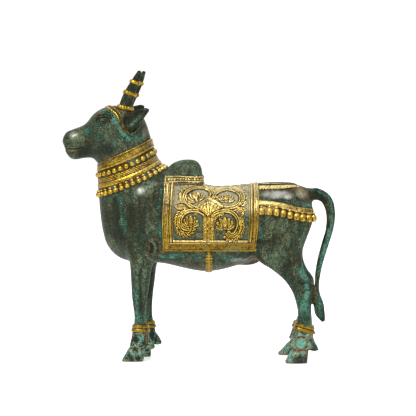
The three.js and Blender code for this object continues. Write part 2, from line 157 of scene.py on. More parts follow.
# %% Rings and closed forms
def ring_mesh(rings, loop=False):
    """A closed mesh through rings of points: its ends are filled, or joined where it is a loop."""
    bm = bmesh.new()
    number = bm.verts.layers.int.new("number")
    ring = bmesh.ops.create_circle(bm, segments=len(rings[0]), radius=1)["verts"]
    for count, (vert, point) in enumerate(zip(ring, rings[0])):
        vert[number] = count
        vert.co = point * MM
    first = edges = list(bm.edges)
    for points in rings[1:]:
        made = bmesh.ops.extrude_edge_only(bm, edges=edges)["geom"]
        ring = sorted((e for e in made if isinstance(e, bmesh.types.BMVert)), key=lambda v: v[number])
        for vert, point in zip(ring, points):
            vert.co = point * MM
        edges = [e for e in made if isinstance(e, bmesh.types.BMEdge) and e.is_boundary]
    if loop:
        bmesh.ops.bridge_loops(bm, edges=first + edges)
    else:
        bmesh.ops.contextual_create(bm, geom=first)
        bmesh.ops.contextual_create(bm, geom=edges)
    bmesh.ops.recalc_face_normals(bm, faces=bm.faces)
    return bm


def skin_form(place, stations, sides):
    """The closed form of a skin between its first and last station."""
    return ring_mesh([place(station, turns_round(sides)) for station in stations])


def ball(centre, radii):
    """An egg-shaped lump of wax."""
    bm = bmesh.new()
    bmesh.ops.create_icosphere(bm, subdivisions=3, radius=1)
    matrix = Matrix.Translation(Vector(centre) * MM) @ Matrix.Diagonal((*np.array(radii) * MM, 1))
    bmesh.ops.transform(bm, matrix=matrix, verts=bm.verts)
    return bm


print("closed forms ready")

# %% [markdown]
# ## Casting several forms as one
#
# Several closed forms go into one object. A voxel remesh then melts them together: it fills them
# with small cubes and draws one new skin round the whole, as fine as the cubes are.

# %% Objects
def as_object(name, forms):
    """One object from several bmeshes, each of which is used up."""
    mesh = bpy.data.meshes.new(name)
    whole = bmesh.new()
    for form in forms:
        form.to_mesh(mesh)
        form.free()
        whole.from_mesh(mesh)
    whole.to_mesh(mesh)
    whole.free()
    thing = bpy.data.objects.new(name, mesh)
    bpy.context.scene.collection.objects.link(thing)
    return thing


def shade_smooth(mesh):
    """Lets the light run smoothly over the faces."""
    mesh.polygons.foreach_set("use_smooth", [True] * len(mesh.polygons))
    mesh.update()


def cast_as_one(thing, grain):
    """Joins overlapping closed forms to one skin whose faces are a grain wide, in mm."""
    remesh = thing.modifiers.new("cast", "REMESH")
    remesh.mode = "VOXEL"
    remesh.voxel_size = grain * MM
    depsgraph = bpy.context.evaluated_depsgraph_get()
    mesh = bpy.data.meshes.new_from_object(thing.evaluated_get(depsgraph))
    thing.modifiers.remove(remesh)
    thing.data = mesh
    shade_smooth(mesh)


print("casting ready")

# %% [markdown]
# ## The mesh as rows of numbers
#
# Smoothing, carving and painting treat all vertices at once, so the mesh's points and normals are
# read into arrays, changed there and put back. What a material has to know about a vertex is kept
# with the mesh as an attribute.

# %% Points, normals and attributes
def points_of(mesh):
    """The mesh's vertices in mm, as rows of x, y and z."""
    flat = np.empty(len(mesh.vertices) * 3, np.float32)
    mesh.vertices.foreach_get("co", flat)
    return flat.reshape(-1, 3).astype(float) / MM


def normals_of(mesh):
    """The direction out of the surface at every vertex."""
    flat = np.empty(len(mesh.vertices) * 3, np.float32)
    mesh.vertex_normals.foreach_get("vector", flat)
    return flat.reshape(-1, 3).astype(float)


def set_points(mesh, points):
    """Puts moved vertices back into the mesh."""
    mesh.vertices.foreach_set("co", (points * MM).astype(np.float32).ravel())
    mesh.update()


def mean_of_neighbours(mesh, values, times):
    """Every vertex's values, blended with those of the vertices that it shares an edge with."""
    ends = np.empty(len(mesh.edges) * 2, np.int32)
    mesh.edges.foreach_get("vertices", ends)
    one, other = ends.reshape(-1, 2).T
    links = np.maximum(np.bincount(ends, minlength=len(values)), 1)
    blended = np.array(values, float).reshape(len(values), -1)
    for _ in range(times):
        total = np.column_stack([np.bincount(one, column[other], len(values))
                                 + np.bincount(other, column[one], len(values)) for column in blended.T])
        blended = 0.5 * blended + 0.5 * total / links[:, None]
    return blended.reshape(np.shape(values))


def smooth(mesh, times, share=1.0):
    """Rubs the surface smooth. The share says how much of that each vertex takes."""
    points = points_of(mesh)
    share = np.reshape(share, (-1, 1)) if np.ndim(share) else share
    set_points(mesh, points + share * (mean_of_neighbours(mesh, points, times) - points))


def write_attribute(mesh, name, values):
    """Keeps a number for every vertex where a material can read it."""
    attribute = mesh.attributes.new(name, "FLOAT", "POINT")
    attribute.data.foreach_set("value", np.asarray(values, np.float32))


print("mesh helpers ready")

# %% [markdown]
# ## The trunk and the hump
#
# The trunk runs from the muzzle to the rump in one line of sections, and the hump stands on the
# withers. The tables give, for every section, the upper and the lower point of the side view, half
# the width, and how much the width moves towards the lower side. A heavy collar sags at the sides
# of the neck, so the trunk's sections are bent the same way where it will lie.

# %% Trunk and hump tables
TRUNK = [
    (-158, 254.5, -157.5, 250, 4.5, 0), (-156.5, 258.5, -155.5, 246, 9, 0),
    (-153, 263.5, -153.5, 239, 13.5, 0), (-146, 266.5, -146.5, 232, 15.5, -0.05),
    (-132, 272.5, -131.5, 233.5, 16, -0.1), (-122, 284, -125, 233.5, 20, -0.15),
    (-113.5, 290, -121.5, 232, 23, -0.2), (-103, 293.5, -120, 230.5, 24, -0.2),
    (-90, 293.5, -119, 229.5, 25.5, -0.15), (-77.5, 289.5, -118.5, 228.5, 26.5, -0.1),
    (-65, 281, -118, 228, 27, -0.05), (-55.5, 255.5, -117, 227, 28, 0),
    (-53, 246.5, -117, 219, 29.5, 0), (-47.5, 232, -116.5, 205, 32, 0),
    (-37.5, 221, -116, 187, 36.5, -0.05), (-29.5, 219, -114.5, 169, 40, -0.1),
    (-24, 216.5, -111.5, 148.5, 42.5, -0.1), (-19.5, 214, -106, 131.5, 44, -0.1),
    (-14, 211, -93.5, 118.5, 44.5, -0.05), (-8, 207, -74, 112.5, 45, 0),
    (-2.5, 204, -46, 112, 45.5, 0.1), (21, 200, 9, 102, 48, 0.12),
    (51, 202, 47.5, 110, 47, 0.1), (81, 205.5, 80, 122, 47, 0),
    (109, 204, 109, 142.5, 46.5, 0), (127, 192.5, 127, 156.5, 31, 0),
    (131, 182, 131, 167, 15, 0),
]
HUMP = [
    (-37.5, 221, -37, 208, 6, 0), (-31.5, 227, -31.5, 200, 13, 0.1),
    (-22, 231, -22, 194, 17.5, 0.15), (-12.5, 232, -12.5, 190, 19, 0.15),
    (-4, 231, -4, 188, 18.5, 0.15), (2.2, 224.5, 2.2, 188, 16.5, 0.15),
    (4.6, 210.5, 4.6, 188, 11, 0.1),
]
COLLAR_TOP = 11
COLLAR_SAG = {"start": 10, "end": 15, "depth": 0.22}
trunk = skin(TRUNK, sag=COLLAR_SAG)
hump = skin(HUMP)
print(len(TRUNK), "sections of the trunk")

# %% [markdown]
# ## The legs
#
# A front leg hangs almost straight from the shoulder. A hind leg has the wide thigh, the hock and
# the thin shank. The right legs stand a little out of step with the left ones, more so near the
# ground, so the same tables serve both sides with a step added.

# %% Leg tables
FRONT_LEG = [
    (-96, 182, -50, 178, 13, -22), (-92, 153.5, -46.5, 151, 17.5, -25.5),
    (-87, 131.5, -47.5, 130.5, 17.5, -26), (-80.5, 117.5, -49.5, 119, 14.5, -24.5),
    (-79, 106, -54, 107.5, 12.5, -24), (-78, 89, -57, 89, 10.5, -23.5),
    (-77, 72.5, -59.5, 72.5, 9, -23), (-74.5, 52, -61, 52, 8, -22.5),
    (-75, 42.5, -60, 42.5, 8.5, -22), (-77, 32.5, -58, 32.5, 9.5, -22),
    (-79, 19, -57, 20.5, 10.5, -22),
]
HIND_LEG = [
    (70, 180.5, 130.5, 182, 20, -25), (64, 157.5, 131, 163.5, 22.5, -28),
    (62.5, 137, 126.3, 149, 21.5, -30), (66, 118.5, 119.5, 130, 18, -31.5),
    (83, 106.5, 118, 115.5, 14.5, -33), (98, 94, 122.5, 102, 11, -34.5),
    (107, 80.5, 130, 90, 9, -36), (111, 68, 130, 75, 8, -36.5),
    (113, 57.5, 128, 61, 7.3, -37), (112.5, 47.5, 128.5, 48.5, 7.5, -37.5),
    (108, 33.5, 131, 32.5, 9.5, -38), (105, 19, 130, 20.5, 10.5, -38),
]
LEG_TOP, STEP_FADE = 185, 90
FRONT = {"table": FRONT_LEG, "hoof": (-75.5, -22), "step": (0, 7, 0.5), "tilt": 0.02,
         "anklet": {LEFT: (8.03, 8.83), RIGHT: (8.03, 8.83)}}
HIND = {"table": HIND_LEG, "hoof": (112, -38), "step": (5.5, -11.5, 8), "tilt": 0.19,
        "anklet": {LEFT: (9.25, 9.78), RIGHT: (9.68, 10.2)}}


def step_at(leg, side, height):
    """How far a right leg stands out of step at a height."""
    whole, reach, ease = leg["step"]
    fade = min(1.0, max(0.0, (LEG_TOP - height) / STEP_FADE))
    return 0.0 if side == LEFT else whole * fade + reach * max(0.0, 1 - height / LEG_TOP) ** ease


def leg_skin(leg, side):
    """The skin of one leg, moved by its step."""
    rows = []
    for front_x, front_z, rear_x, rear_z, width, centre in leg["table"]:
        step = step_at(leg, side, (front_z + rear_z) / 2)
        rows.append((front_x + step, front_z, rear_x + step, rear_z, width, centre))
    return skin(rows, side, centred=False)


legs = [(leg, side, leg_skin(leg, side)) for leg in (FRONT, HIND) for side in (LEFT, RIGHT)]
print(len(legs), "legs")

# %% [markdown]
# ## The tail
#
# The tail leaves the rump, bends down and hangs to one side behind the left hock, where it ends in
# a tuft. It touches the leg there, and the founder leaves a web of bronze between the two.

# %% Tail table
TAIL = [
    (114, 203, 117, 181, 7, 0), (127, 199, 129, 184, 6.6, 0), (136.5, 198.8, 136, 184.5, 6, 0),
    (147, 194.5, 141.5, 182.5, 5.2, 0), (155, 185.5, 145.5, 175.5, 4.8, -1),
    (158, 170, 147.3, 166.5, 4.5, -3), (156, 152.5, 146.3, 151.5, 4.2, -8),
    (150.5, 135, 141.7, 136.5, 3.9, -13), (144.5, 117.5, 136.7, 119.5, 3.6, -19),
    (140, 100.5, 133.3, 101.5, 3.4, -25), (138, 86.5, 132.5, 87, 3.6, -29),
    (139.5, 77, 132, 76, 4.6, -31), (143, 68, 131.5, 65, 5.2, -32),
    (144.5, 57.5, 132.8, 55.5, 4.6, -32), (145.5, 46.5, 140.5, 45.5, 1.6, -31),
]
tail = skin(TAIL, centred=False)
print(len(TAIL), "sections of the tail")

# %% [markdown]
# ## The body as one casting
#
# Trunk, hump, legs and tail overlap like lumps of wax. Joining them with booleans would leave hard
# seams, so a voxel remesh melts them to one skin, and a few rounds of smoothing rub the joints
# soft, as a thumb does. The head is left to a finer piece, cut off where the collar hides the
# joint, and so are the feet, cut off inside the anklets.

# %% Bull body
BODY_GRAIN = 1.35
SHEATH = ((54, 0, 115.8), (19, 7, 7.8))
TAIL_WEB = ((131, -32.5, 78), (4, 3, 12))
TAIL_X, TAIL_TIP_Z, SHANK_TOP_Z = 133, 40, 100


def stations(start, end, step):
    """Evenly spread stations, both ends among them."""
    return np.linspace(start, end, max(2, int(round((end - start) / step)) + 1))


body_forms = [
    skin_form(trunk, stations(COLLAR_TOP + 0.45, len(TRUNK) - 1, 0.1), 120),
    skin_form(hump, stations(0, len(HUMP) - 1, 0.1), 72),
    skin_form(tail, stations(0, len(TAIL) - 1, 0.1), 32),
    ball(*SHEATH),
    ball(*TAIL_WEB),
]
for leg, side, place in legs:
    low, high = leg["anklet"][side]
    body_forms.append(skin_form(place, stations(0, (low + high) / 2, 0.1), 56))
body = as_object("bull_body", body_forms)
cast_as_one(body, BODY_GRAIN)
body_points = points_of(body.data)
on_tail = (body_points[:, 0] > TAIL_X) & (body_points[:, 2] > TAIL_TIP_Z)
on_shank = body_points[:, 2] < SHANK_TOP_Z
thumb_share = np.where(on_tail, 0.08, np.where(on_shank, 0.25, 1.0))
smooth(body.data, 22, thumb_share)
smooth(body.data, 3)
print("bull body:", len(body.data.vertices), "vertices")

# %% [markdown]
# ## Carving with strokes
#
# Folds of hide, eyelids and the grooves of the hooves are strokes on the side view. A stroke is a
# line in x and z, its reach and its strength: vertices near it rise or sink along their normal.
# The distance of many points to a line is worked out at once, piece by piece of the line.

# %% Strokes
def distance_to(line, x, z, squeeze=1.0):
    """How far points of the side view are from a line. Squeeze is how much z is foreshortened."""
    nearest = np.full(np.shape(x), 1e9)
    for (x1, z1), (x2, z2) in zip(line[:-1], line[1:]):
        ax, az = x1 - x, (z1 - z) / squeeze
        bx, bz = x2 - x1, (z2 - z1) / squeeze
        share = np.clip(-(ax * bx + az * bz) / (bx * bx + bz * bz + 1e-12), 0, 1)
        nearest = np.minimum(nearest, np.hypot(ax + share * bx, az + share * bz))
    return nearest


def soft_bump(distance, reach):
    """1 on the line, 0 at its reach, and smooth in between."""
    share = np.clip(distance / reach, 0, 1)
    return (1 - share ** 2) ** 2


def smooth_line(points, count=24):
    """A smooth line through a few points of the side view."""
    return along_curve(points, np.linspace(0, len(points) - 1, count))


def smoothed(strokes, count=24):
    """The same strokes, each with its line made smooth."""
    return [(smooth_line(line, count), reach, strength) for line, reach, strength in strokes]


def circle_line(centre, radius, count):
    """A closed line round a point of the side view."""
    return [(centre[0] + radius * math.cos(a), centre[1] + radius * math.sin(a))
            for a in np.linspace(0, 2 * np.pi, count)]


def stroke_field(points, strokes, sides=(LEFT, RIGHT)):
    """The sum of all strokes at every point: each is a line, its reach and its strength."""
    field = np.zeros(len(points))
    chosen = np.isin(np.sign(points[:, 1]), sides)
    for line, reach, strength in strokes:
        low, high = np.min(line, axis=0) - reach, np.max(line, axis=0) + reach
        near = np.flatnonzero(chosen & (points[:, 0] > low[0]) & (points[:, 0] < high[0])
                              & (points[:, 2] > low[1]) & (points[:, 2] < high[1]))
        field[near] += strength * soft_bump(distance_to(line, points[near, 0], points[near, 2]), reach)
    return field


def carve(mesh, strokes, sides=(LEFT, RIGHT)):
    """Raises or sinks the surface along strokes, less where it turns away from the side view."""
    points, outward = points_of(mesh), normals_of(mesh)
    facing = np.clip(np.abs(outward[:, 1]) * 2.2, 0, 1)
    set_points(mesh, points + outward * (stroke_field(points, strokes, sides) * facing)[:, None])


def paint(mesh, name, strokes):
    """Writes an attribute that is 1 in the middle of strong strokes and 0 away from them."""
    write_attribute(mesh, name, np.clip(stroke_field(points_of(mesh), strokes), 0, 1))


def inside_polygon(corners, x, z):
    """Which points of the side view are inside a polygon."""
    result = np.zeros(np.shape(x), bool)
    for (x1, z1), (x2, z2) in zip(corners, corners[1:] + corners[:1]):
        crosses = (z1 > z) != (z2 > z)
        result ^= crosses & (x < x1 + (z - z1) * (x2 - x1) / (z2 - z1 if z2 != z1 else 1e-9))
    return result


print("strokes ready")

# %% [markdown]
# ## Folds and muscles of the body
#
# The founder has kept the hide plain: an elbow fold behind the front leg, a fold of the flank in
# front of the thigh, two faint pleats of the dewlap, the soft hollows between the muscles, and four
# fine lines that fan out where the tail begins.

# %% Carve the body
RUMP_FAN = [[(107, 199.5), (113, 195), (116, 187)], [(110, 200.5), (116.5, 195.5), (120, 187)],
            [(113.5, 201), (120.5, 196), (124, 187)], [(117.5, 201), (124.5, 197), (128, 189)]]
BODY_FOLDS = [
    ([(-56, 141), (-52, 138), (-50, 133), (-50.5, 128)], 3.2, 1),
    ([(-54, 135), (-53.5, 131), (-54.5, 127)], 3.5, -1.1),
    ([(-62, 150), (-53, 148), (-46, 140), (-44.5, 130), (-47, 120)], 5, -0.9),
    ([(-50, 118), (-52, 111), (-54, 104)], 3.5, 0.6), ([(66, 119), (71, 116), (76, 110)], 3.2, 0.8),
    ([(61, 126), (67, 122), (73, 116)], 4, -0.7), ([(-90, 162), (-91.5, 150), (-90, 140)], 3, 0.7),
    ([(-86, 140), (-88, 130), (-86, 122)], 3, 0.6), ([(-100, 176), (-99, 160), (-96, 145)], 5, -0.6),
    ([(-66, 190), (-60, 175), (-57, 160)], 12, 1), ([(112, 96), (118, 88), (121, 78)], 4, 0.5),
    ([(40, 114), (50, 119.5), (60, 124)], 3, 0.9), ([(48, 114), (58, 118.5), (66, 120)], 2.6, -1),
]
FAN_REACH, FAN_STRENGTH = 1.6, 0.6
body_strokes = smoothed(BODY_FOLDS + [(line, FAN_REACH, FAN_STRENGTH) for line in RUMP_FAN])
carve(body.data, body_strokes)
print(len(body_strokes), "strokes on the body")

# %% [markdown]
# ## The head with horns and ears
#
# The head needs a finer skin than the body, because eyelids and nostrils are only a millimetre
# wide. Horns and ears overlap the skull before the remesh melts them to it. Then a rim is raised
# round each ear and the cup is pressed in, also where the ear lies against the skull.

# %% Head forms
HORN = [
    (-93.5, 290, -79, 287, 6.8, -9), (-90.3, 299.5, -76.5, 296, 6, -12),
    (-86, 309.5, -73.5, 305, 5.2, -14), (-80, 319.5, -70, 315.5, 4.3, -14.5),
    (-74.5, 328, -67.5, 325, 3, -13.5), (-70, 334.8, -66, 333.5, 1.5, -12),
]
EAR = [
    (-88, 277, -90, 270, 2.5, -20), (-83, 285, -86.5, 267, 3.2, -24),
    (-74, 288.5, -77.5, 265.5, 3, -29), (-66, 290.5, -69, 271, 2.6, -33.5),
    (-60, 291.5, -62, 279.5, 2, -37), (-56, 290, -56.5, 287, 1, -39),
]
HEAD_GRAIN = 0.65
HORN_LEAN = 4.5
EAR_SHIFT, EAR_LIFT = -8, 4
EAR_HOLLOW = 1.5
CUP_DEPTH, CUP_SLOPE, CUP_EDGE = 4.4, 1.25, 0.8
RIM_HEIGHT, RIM_REACH = 1.7, 2.1
EAR_RIM = [(-85.5, 284), (-87.7, 277), (-86, 269), (-82, 263), (-77.5, 260.5), (-73, 263.5), (-67, 271),
           (-61, 281), (-57.5, 288.3), (-62, 290), (-70, 290), (-78, 288.5)]


def horn_skin(side):
    """A horn. The right one leans back from its foot."""
    foot, tip = HORN[0][1], HORN[-1][1]
    rows = []
    for upper_x, upper_z, lower_x, lower_z, width, centre in HORN:
        lean = 0 if side == LEFT else HORN_LEAN * (upper_z - foot) / (tip - foot)
        rows.append((upper_x + lean, upper_z, lower_x + lean, lower_z, width, centre))
    return skin(rows, side, squareness=1, centred=False)


def ear_form(side):
    """An ear as a hollow shell with a thick rim."""
    shift, rise = (0, 0) if side == LEFT else (EAR_SHIFT, EAR_LIFT)
    rows = [(a + shift, b + rise, c + shift, d + rise, width, centre) for a, b, c, d, width, centre in EAR]
    place = skin(rows, side, squareness=1, centred=False)
    rings = []
    for station in stations(0, len(EAR) - 1, 0.08):
        turns = turns_round(48)
        ring = place(station, turns)
        across = np.cos(turns)
        depth = EAR_HOLLOW * np.clip(math.sin(math.pi * min(1, (station + 0.3) / (len(EAR) - 1))), 0, 1)
        outer = np.sin(turns) > 0
        hollow = np.where(outer, (1 - across ** 2) ** 1.2, 0.55 * (1 - across ** 2))
        rim = np.where(outer, 0.7 * np.clip(across - 0.55, 0, 1) / 0.45, 0)
        ring[:, 1] -= side * (depth * hollow - rim)
        rings.append(ring)
    return ring_mesh(rings)


horns = {side: horn_skin(side) for side in (LEFT, RIGHT)}
head_forms = [skin_form(trunk, stations(0, COLLAR_TOP + 0.6, 0.06), 160)]
for side in (LEFT, RIGHT):
    head_forms.append(skin_form(horns[side], stations(0, len(HORN) - 1, 0.06), 40))
    head_forms.append(ear_form(side))
head = as_object("bull_head", head_forms)
cast_as_one(head, HEAD_GRAIN)
smooth(head.data, 5)
points, outward = points_of(head.data), normals_of(head.data)
for side, shift, rise in ((LEFT, 0, 0), (RIGHT, EAR_SHIFT, EAR_LIFT)):
    rim = [(x + shift, z + rise) for x, z in EAR_RIM]
    near = np.flatnonzero((side * points[:, 1] > 19) & (side * outward[:, 1] > 0.15))
    x, z = points[near, 0], points[near, 2]
    from_rim = distance_to(rim + rim[:1], x, z)
    slope = CUP_SLOPE * np.maximum(from_rim - CUP_EDGE, 0)
    cup = np.where(inside_polygon(rim, x, z), np.minimum(CUP_DEPTH, slope), 0)
    points[near, 1] -= side * (cup - RIM_HEIGHT * soft_bump(from_rim, RIM_REACH))
set_points(head.data, points)
smooth(head.data, 2)
print("bull head:", len(head.data.vertices), "vertices")

# %% [markdown]
# ## The face
#
# The eye is an almond between two lids, under a brow of two raised lines with a groove below each.
# A patch of the mesh round each eye is subdivided first, so that there are enough vertices to
# carve. The mouth is a groove, the nostril a comma, and the cheek ends in a soft ridge.

# %% Carve the face
def refine(mesh, low, high):
    """Cuts every edge in a box of the side view in two."""
    bm = bmesh.new()
    bm.from_mesh(mesh)
    inside = [e for e in bm.edges if all(low[0] < v.co.x / MM < high[0] and low[1] < v.co.z / MM < high[1]
                                         for v in e.verts)]
    bmesh.ops.subdivide_edges(bm, edges=inside, cuts=1, use_grid_fill=True)
    bm.to_mesh(mesh)
    bm.free()
    shade_smooth(mesh)


EYE_PATCH = ((-121, 269), (-96, 289))
refine(head.data, *EYE_PATCH)
smooth(head.data, 2)
EYE = [
    ([(-117, 277.5), (-109, 279), (-102, 278.5)], 6.5, -1),
    ([(-112.8, 277.8), (-109, 278.6), (-105.2, 278.2)], 2.9, 1.7),
    ([(-115.6, 276.6), (-113, 280.2), (-109, 281.9), (-105, 280.8), (-102.4, 277.8)], 1.2, 1.2),
    ([(-115.6, 276.6), (-112, 274.9), (-107, 274.7), (-102.4, 277.8)], 1.1, 1),
    ([(-114.8, 276.9), (-112.6, 279.2), (-109, 280.6), (-105.4, 279.8), (-103.4, 277.8)], 0.8, -1.3),
    ([(-114.6, 276.7), (-112, 275.9), (-107, 275.8), (-103.4, 277.6)], 0.8, -1.2),
    ([(-118.5, 277.5), (-115.5, 282.5), (-109, 285), (-103, 284), (-98.5, 280.5)], 1.3, 1),
    ([(-117.5, 276.5), (-114.8, 281.2), (-109, 283.5), (-103.5, 282.6), (-99.5, 279)], 0.9, -1),
    ([(-119.3, 280), (-115, 285.6), (-108, 287.4), (-101, 286), (-96.5, 281.5)], 1.4, 0.7),
    ([(-119, 278.7), (-115.3, 284.1), (-108.5, 286.2), (-102, 285), (-97.5, 281)], 0.8, -0.7),
    ([(-117, 273), (-111, 271.8), (-104.5, 272), (-100, 274.5)], 1.3, 0.5),
    ([(-116, 274.2), (-111, 273.2), (-105, 273.3), (-101, 275.4)], 0.8, -0.6),
]
MOUTH = [
    ([(-158, 243), (-152, 244), (-141.5, 244), (-133, 245.8)], 1.3, -1.5),
    ([(-158, 245.4), (-150, 246.2), (-141, 246.3)], 2.4, 0.5),
]
NOSTRIL = [
    ([(-154.6, 257), (-152.8, 256), (-151, 256.2)], 1.5, -1.3),
    ([(-156, 258.6), (-152.8, 258.6), (-150, 257.4)], 1.6, 0.35),
]
CHEEK = [
    ([(-117, 272.5), (-119.5, 262), (-121, 252)], 5, 0.6),
    ([(-109.5, 268), (-110.5, 260), (-109, 252)], 6.5, -0.9),
    ([(-104, 243), (-96, 248), (-90, 257), (-88, 265)], 7, 0.5),
    ([(-92, 246), (-85, 253), (-82, 258)], 4, -0.6),
    ([(-86, 260), (-80, 256.5), (-71, 255.5), (-62, 258)], 4.5, -1.3),
    ([(-135, 262), (-128, 266), (-121, 269)], 5, 0.4), ([(-141, 256), (-132, 257), (-124, 259)], 6, -0.5),
]
face_strokes = smoothed(EYE + MOUTH) + smoothed(NOSTRIL, 8) + smoothed(CHEEK)
carve(head.data, face_strokes)
print(len(face_strokes), "strokes on the face")

# %% [markdown]
# ## The feet
#
# A bull stands on two claws on each foot, with two small dewclaws behind the fetlock. Each claw is
# a skin of its own, set beside its twin, and the fetlock is a lump over both with a boss on its
# outer side. The remesh is fine enough to keep the narrow cleft between the claws open. A groove
# is cut round the boss, and one where the hoof begins.

# %% Feet
CLAW = [
    (-3, 25, 12, 26, 5.4, 4.2), (-4.5, 16, 12.8, 17, 5.8, 5.0), (-7, 12.5, 13, 13, 5.2, 5.4),
    (-10.5, 6, 12.4, 7, 5.4, 5.8), (-13.3, 1.2, 11.8, 1.2, 5.6, 5.9), (-13.2, 0.05, 11.6, 0.05, 5.3, 5.9),
]
DEWCLAW = [
    (9, 30, 8, 16, 3.6, 4.2), (14.5, 30.5, 12.5, 15.5, 3.8, 4.8), (18.6, 27, 16.6, 14.2, 3.4, 5.2),
    (21.6, 22.6, 19.8, 13.8, 2.7, 5.4), (23.6, 18.9, 22.4, 14.2, 1.9, 5.5), (25, 16, 24.6, 14.9, 0.9, 5.5),
]
FOOT_GRAIN = 0.75
FETLOCK_Z = 20
BOSS_X, BOSS_Z, BOSS_RADIUS = 4.5, 23.3, 7.6


def moved_rows(table, leg, side, twin):
    """The rows of a claw, each moved by the step at its own height."""
    hoof_x, hoof_y = leg["hoof"]
    rows = []
    for a, b, c, d, width, apart in table:
        x = hoof_x + step_at(leg, side, (b + d) / 2)
        rows.append((a + x, b, c + x, d, width, hoof_y + twin * apart))
    return rows


def foot_forms(leg, side, place):
    """Fetlock, two claws and two dewclaws of one foot."""
    hoof_x, hoof_y = leg["hoof"]
    last = len(leg["table"]) - 1
    x = hoof_x + step_at(leg, side, FETLOCK_Z)
    forms = [skin_form(place, stations(sum(leg["anklet"][side]) / 2, last, 0.08), 56),
             ball((x + 6, side * -hoof_y, 19), (10.2, 9.6, 7.5)),
             ball((x + BOSS_X, side * (5.2 - hoof_y), BOSS_Z), (6.4, 5.6, 6.6))]
    for twin in (-1, 1):
        claw = skin(moved_rows(CLAW, leg, side, twin), side, squareness=0.8, centred=False)
        forms.append(skin_form(claw, stations(0, len(CLAW) - 1, 0.06), 40))
        dewclaw = skin(moved_rows(DEWCLAW, leg, side, twin), side, centred=False)
        forms.append(skin_form(dewclaw, stations(0, len(DEWCLAW) - 1, 0.1), 24))
    return forms


all_foot_forms = []
for leg, side, place in legs:
    all_foot_forms += foot_forms(leg, side, place)
feet = as_object("bull_feet", all_foot_forms)
cast_as_one(feet, FOOT_GRAIN)
smooth(feet.data, 2)
for leg, side, place in legs:
    x = leg["hoof"][0] + step_at(leg, side, FETLOCK_Z)
    boss = circle_line((x + BOSS_X, BOSS_Z), BOSS_RADIUS, 24)
    coronet = smooth_line([(x - 10, 14.5), (x - 2, 15.5), (x + 6, 14.6), (x + 13, 15.5)])
    carve(feet.data, [(boss, 1.6, -0.8), (coronet, 1.5, -0.8)], (side,))
print("bull feet:", len(feet.data.vertices), "vertices")

# %% [markdown]
# ## Where the ornaments lie
#
# Cloth, straps and bells have to sit on the bronze skin, so their places are found by casting rays
# at the finished body: outwards from the middle plane for the flanks, and fanned over the back.

# %% Rays on the skin
RAY_LENGTH = 150


def tree_of(thing):
    """A search tree over a finished mesh."""
    bm = bmesh.new()
    bm.from_mesh(thing.data)
    tree = BVHTree.FromBMesh(bm)
    bm.free()
    return tree


body_tree = tree_of(body)


def hit(origin, direction):
    """The outermost point that a ray from inside the body meets, in mm, and the normal there."""
    start = (Vector(origin) + RAY_LENGTH * Vector(direction)) * MM
    place, normal = body_tree.ray_cast(start, -Vector(direction))[:2]
    return np.array(place) / MM, np.array(normal)


def flank(x, z, side):
    """A point on the flank and its normal."""
    return hit((x, 0, z), (0, side, 0))


print("the back at x = 50 is at z =", round(hit((50, 0, 150), (0, 0, 1))[0][2], 1))

# %% [markdown]
# ## The saddle cloth's ground
#
# The saddle cloth is cast with the body, so it is modelled as a relief: a sheet of small faces
# wrapped over the back, with its lower edges closed inside the body. Each row of the sheet goes up
# the left flank, over the back and down the right flank, half a millimetre from point to point.

# %% Cloth sheet
SHEET_X = np.arange(-44.0, 71.01, 0.5)
flank_z = np.arange(127.0, 190.0, 0.5)
fan_angles = np.radians(np.linspace(0, 180, 101))
rows = []
for x in SHEET_X:
    left = [flank(x, z, LEFT)[0] for z in flank_z]
    over = [hit((x, 0, 190), (0, -math.cos(a), math.sin(a)))[0] for a in fan_angles]
    right = [flank(x, z, RIGHT)[0] for z in flank_z[::-1]]
    rows.append(left + over + right)
sheet = np.array(rows)
for _ in range(6):
    sheet[1:-1, 1:-1] = (sheet[:-2, 1:-1] + sheet[2:, 1:-1] + sheet[1:-1, :-2] + sheet[1:-1, 2:]) / 4
sheet_normal = np.cross(np.gradient(sheet, axis=0), np.gradient(sheet, axis=1))
sheet_normal /= np.linalg.norm(sheet_normal, axis=2)[:, :, None]
middle_row, middle_column = len(sheet) // 2, sheet.shape[1] // 2
if sheet_normal[middle_row, middle_column, 2] < 0:
    sheet_normal = -sheet_normal
cloth_x, cloth_z = sheet[:, :, 0], sheet[:, :, 2]
upward = np.clip(sheet_normal[:, :, 2], -1, 1)
squeeze = np.clip(np.sqrt(1 - upward ** 2), 0.3, 1)
print("cloth sheet:", sheet.shape[0], "by", sheet.shape[1], "points")

# %% [markdown]
# ## The pattern of the cloth
#
# A border of plain and chased bands frames a sunk panel. In the panel two pairs of scrolls grow
# from a leafy stem, and each holds a lotus. All of it is drawn as heights: a shape counts where it
# stands higher than what is there already, as wax laid on wax does. Each leaf is first given a
# moat, the line that the chaser cuts round it so that it reads from afar.

# %% Pattern tools
GROUND = 0.55
UNDER_SKIN = -1.6
REED_MOAT = 1.1
LEAF_FOOT = 0.75
height = np.full(cloth_x.shape, UNDER_SKIN)
gilt = np.zeros(cloth_x.shape)
dark = np.zeros(cloth_x.shape)


def inside_of(corners):
    """Where the cloth is inside a polygon of the side view."""
    return inside_polygon(corners, cloth_x, cloth_z)


def lay(shape, rise, gold=1.0):
    """Lays a shape on the cloth: rise is its height where the mask holds."""
    global height, gilt, dark
    wins = shape & (rise > height)
    gilt = np.where(wins, gold, gilt)
    dark = np.where(wins, 0, dark)
    height = np.where(wins, rise, height)


def cut_moat(shape, floor_height=0.3):
    """Sinks the cloth to the blackened floor of a moat where the mask holds."""
    global height, dark
    height = np.where(shape, np.minimum(height, floor_height), height)
    dark = np.where(shape, 1, dark)


def ridge(line, reach, rise, gold=1.0, ground=GROUND):
    """A rounded ridge along a line."""
    distance = distance_to(line, cloth_x, cloth_z, squeeze)
    crown = np.sqrt(np.clip(1 - (distance / reach) ** 2, 0, 1))
    lay(distance < reach, ground + (rise - ground) * crown, gold)


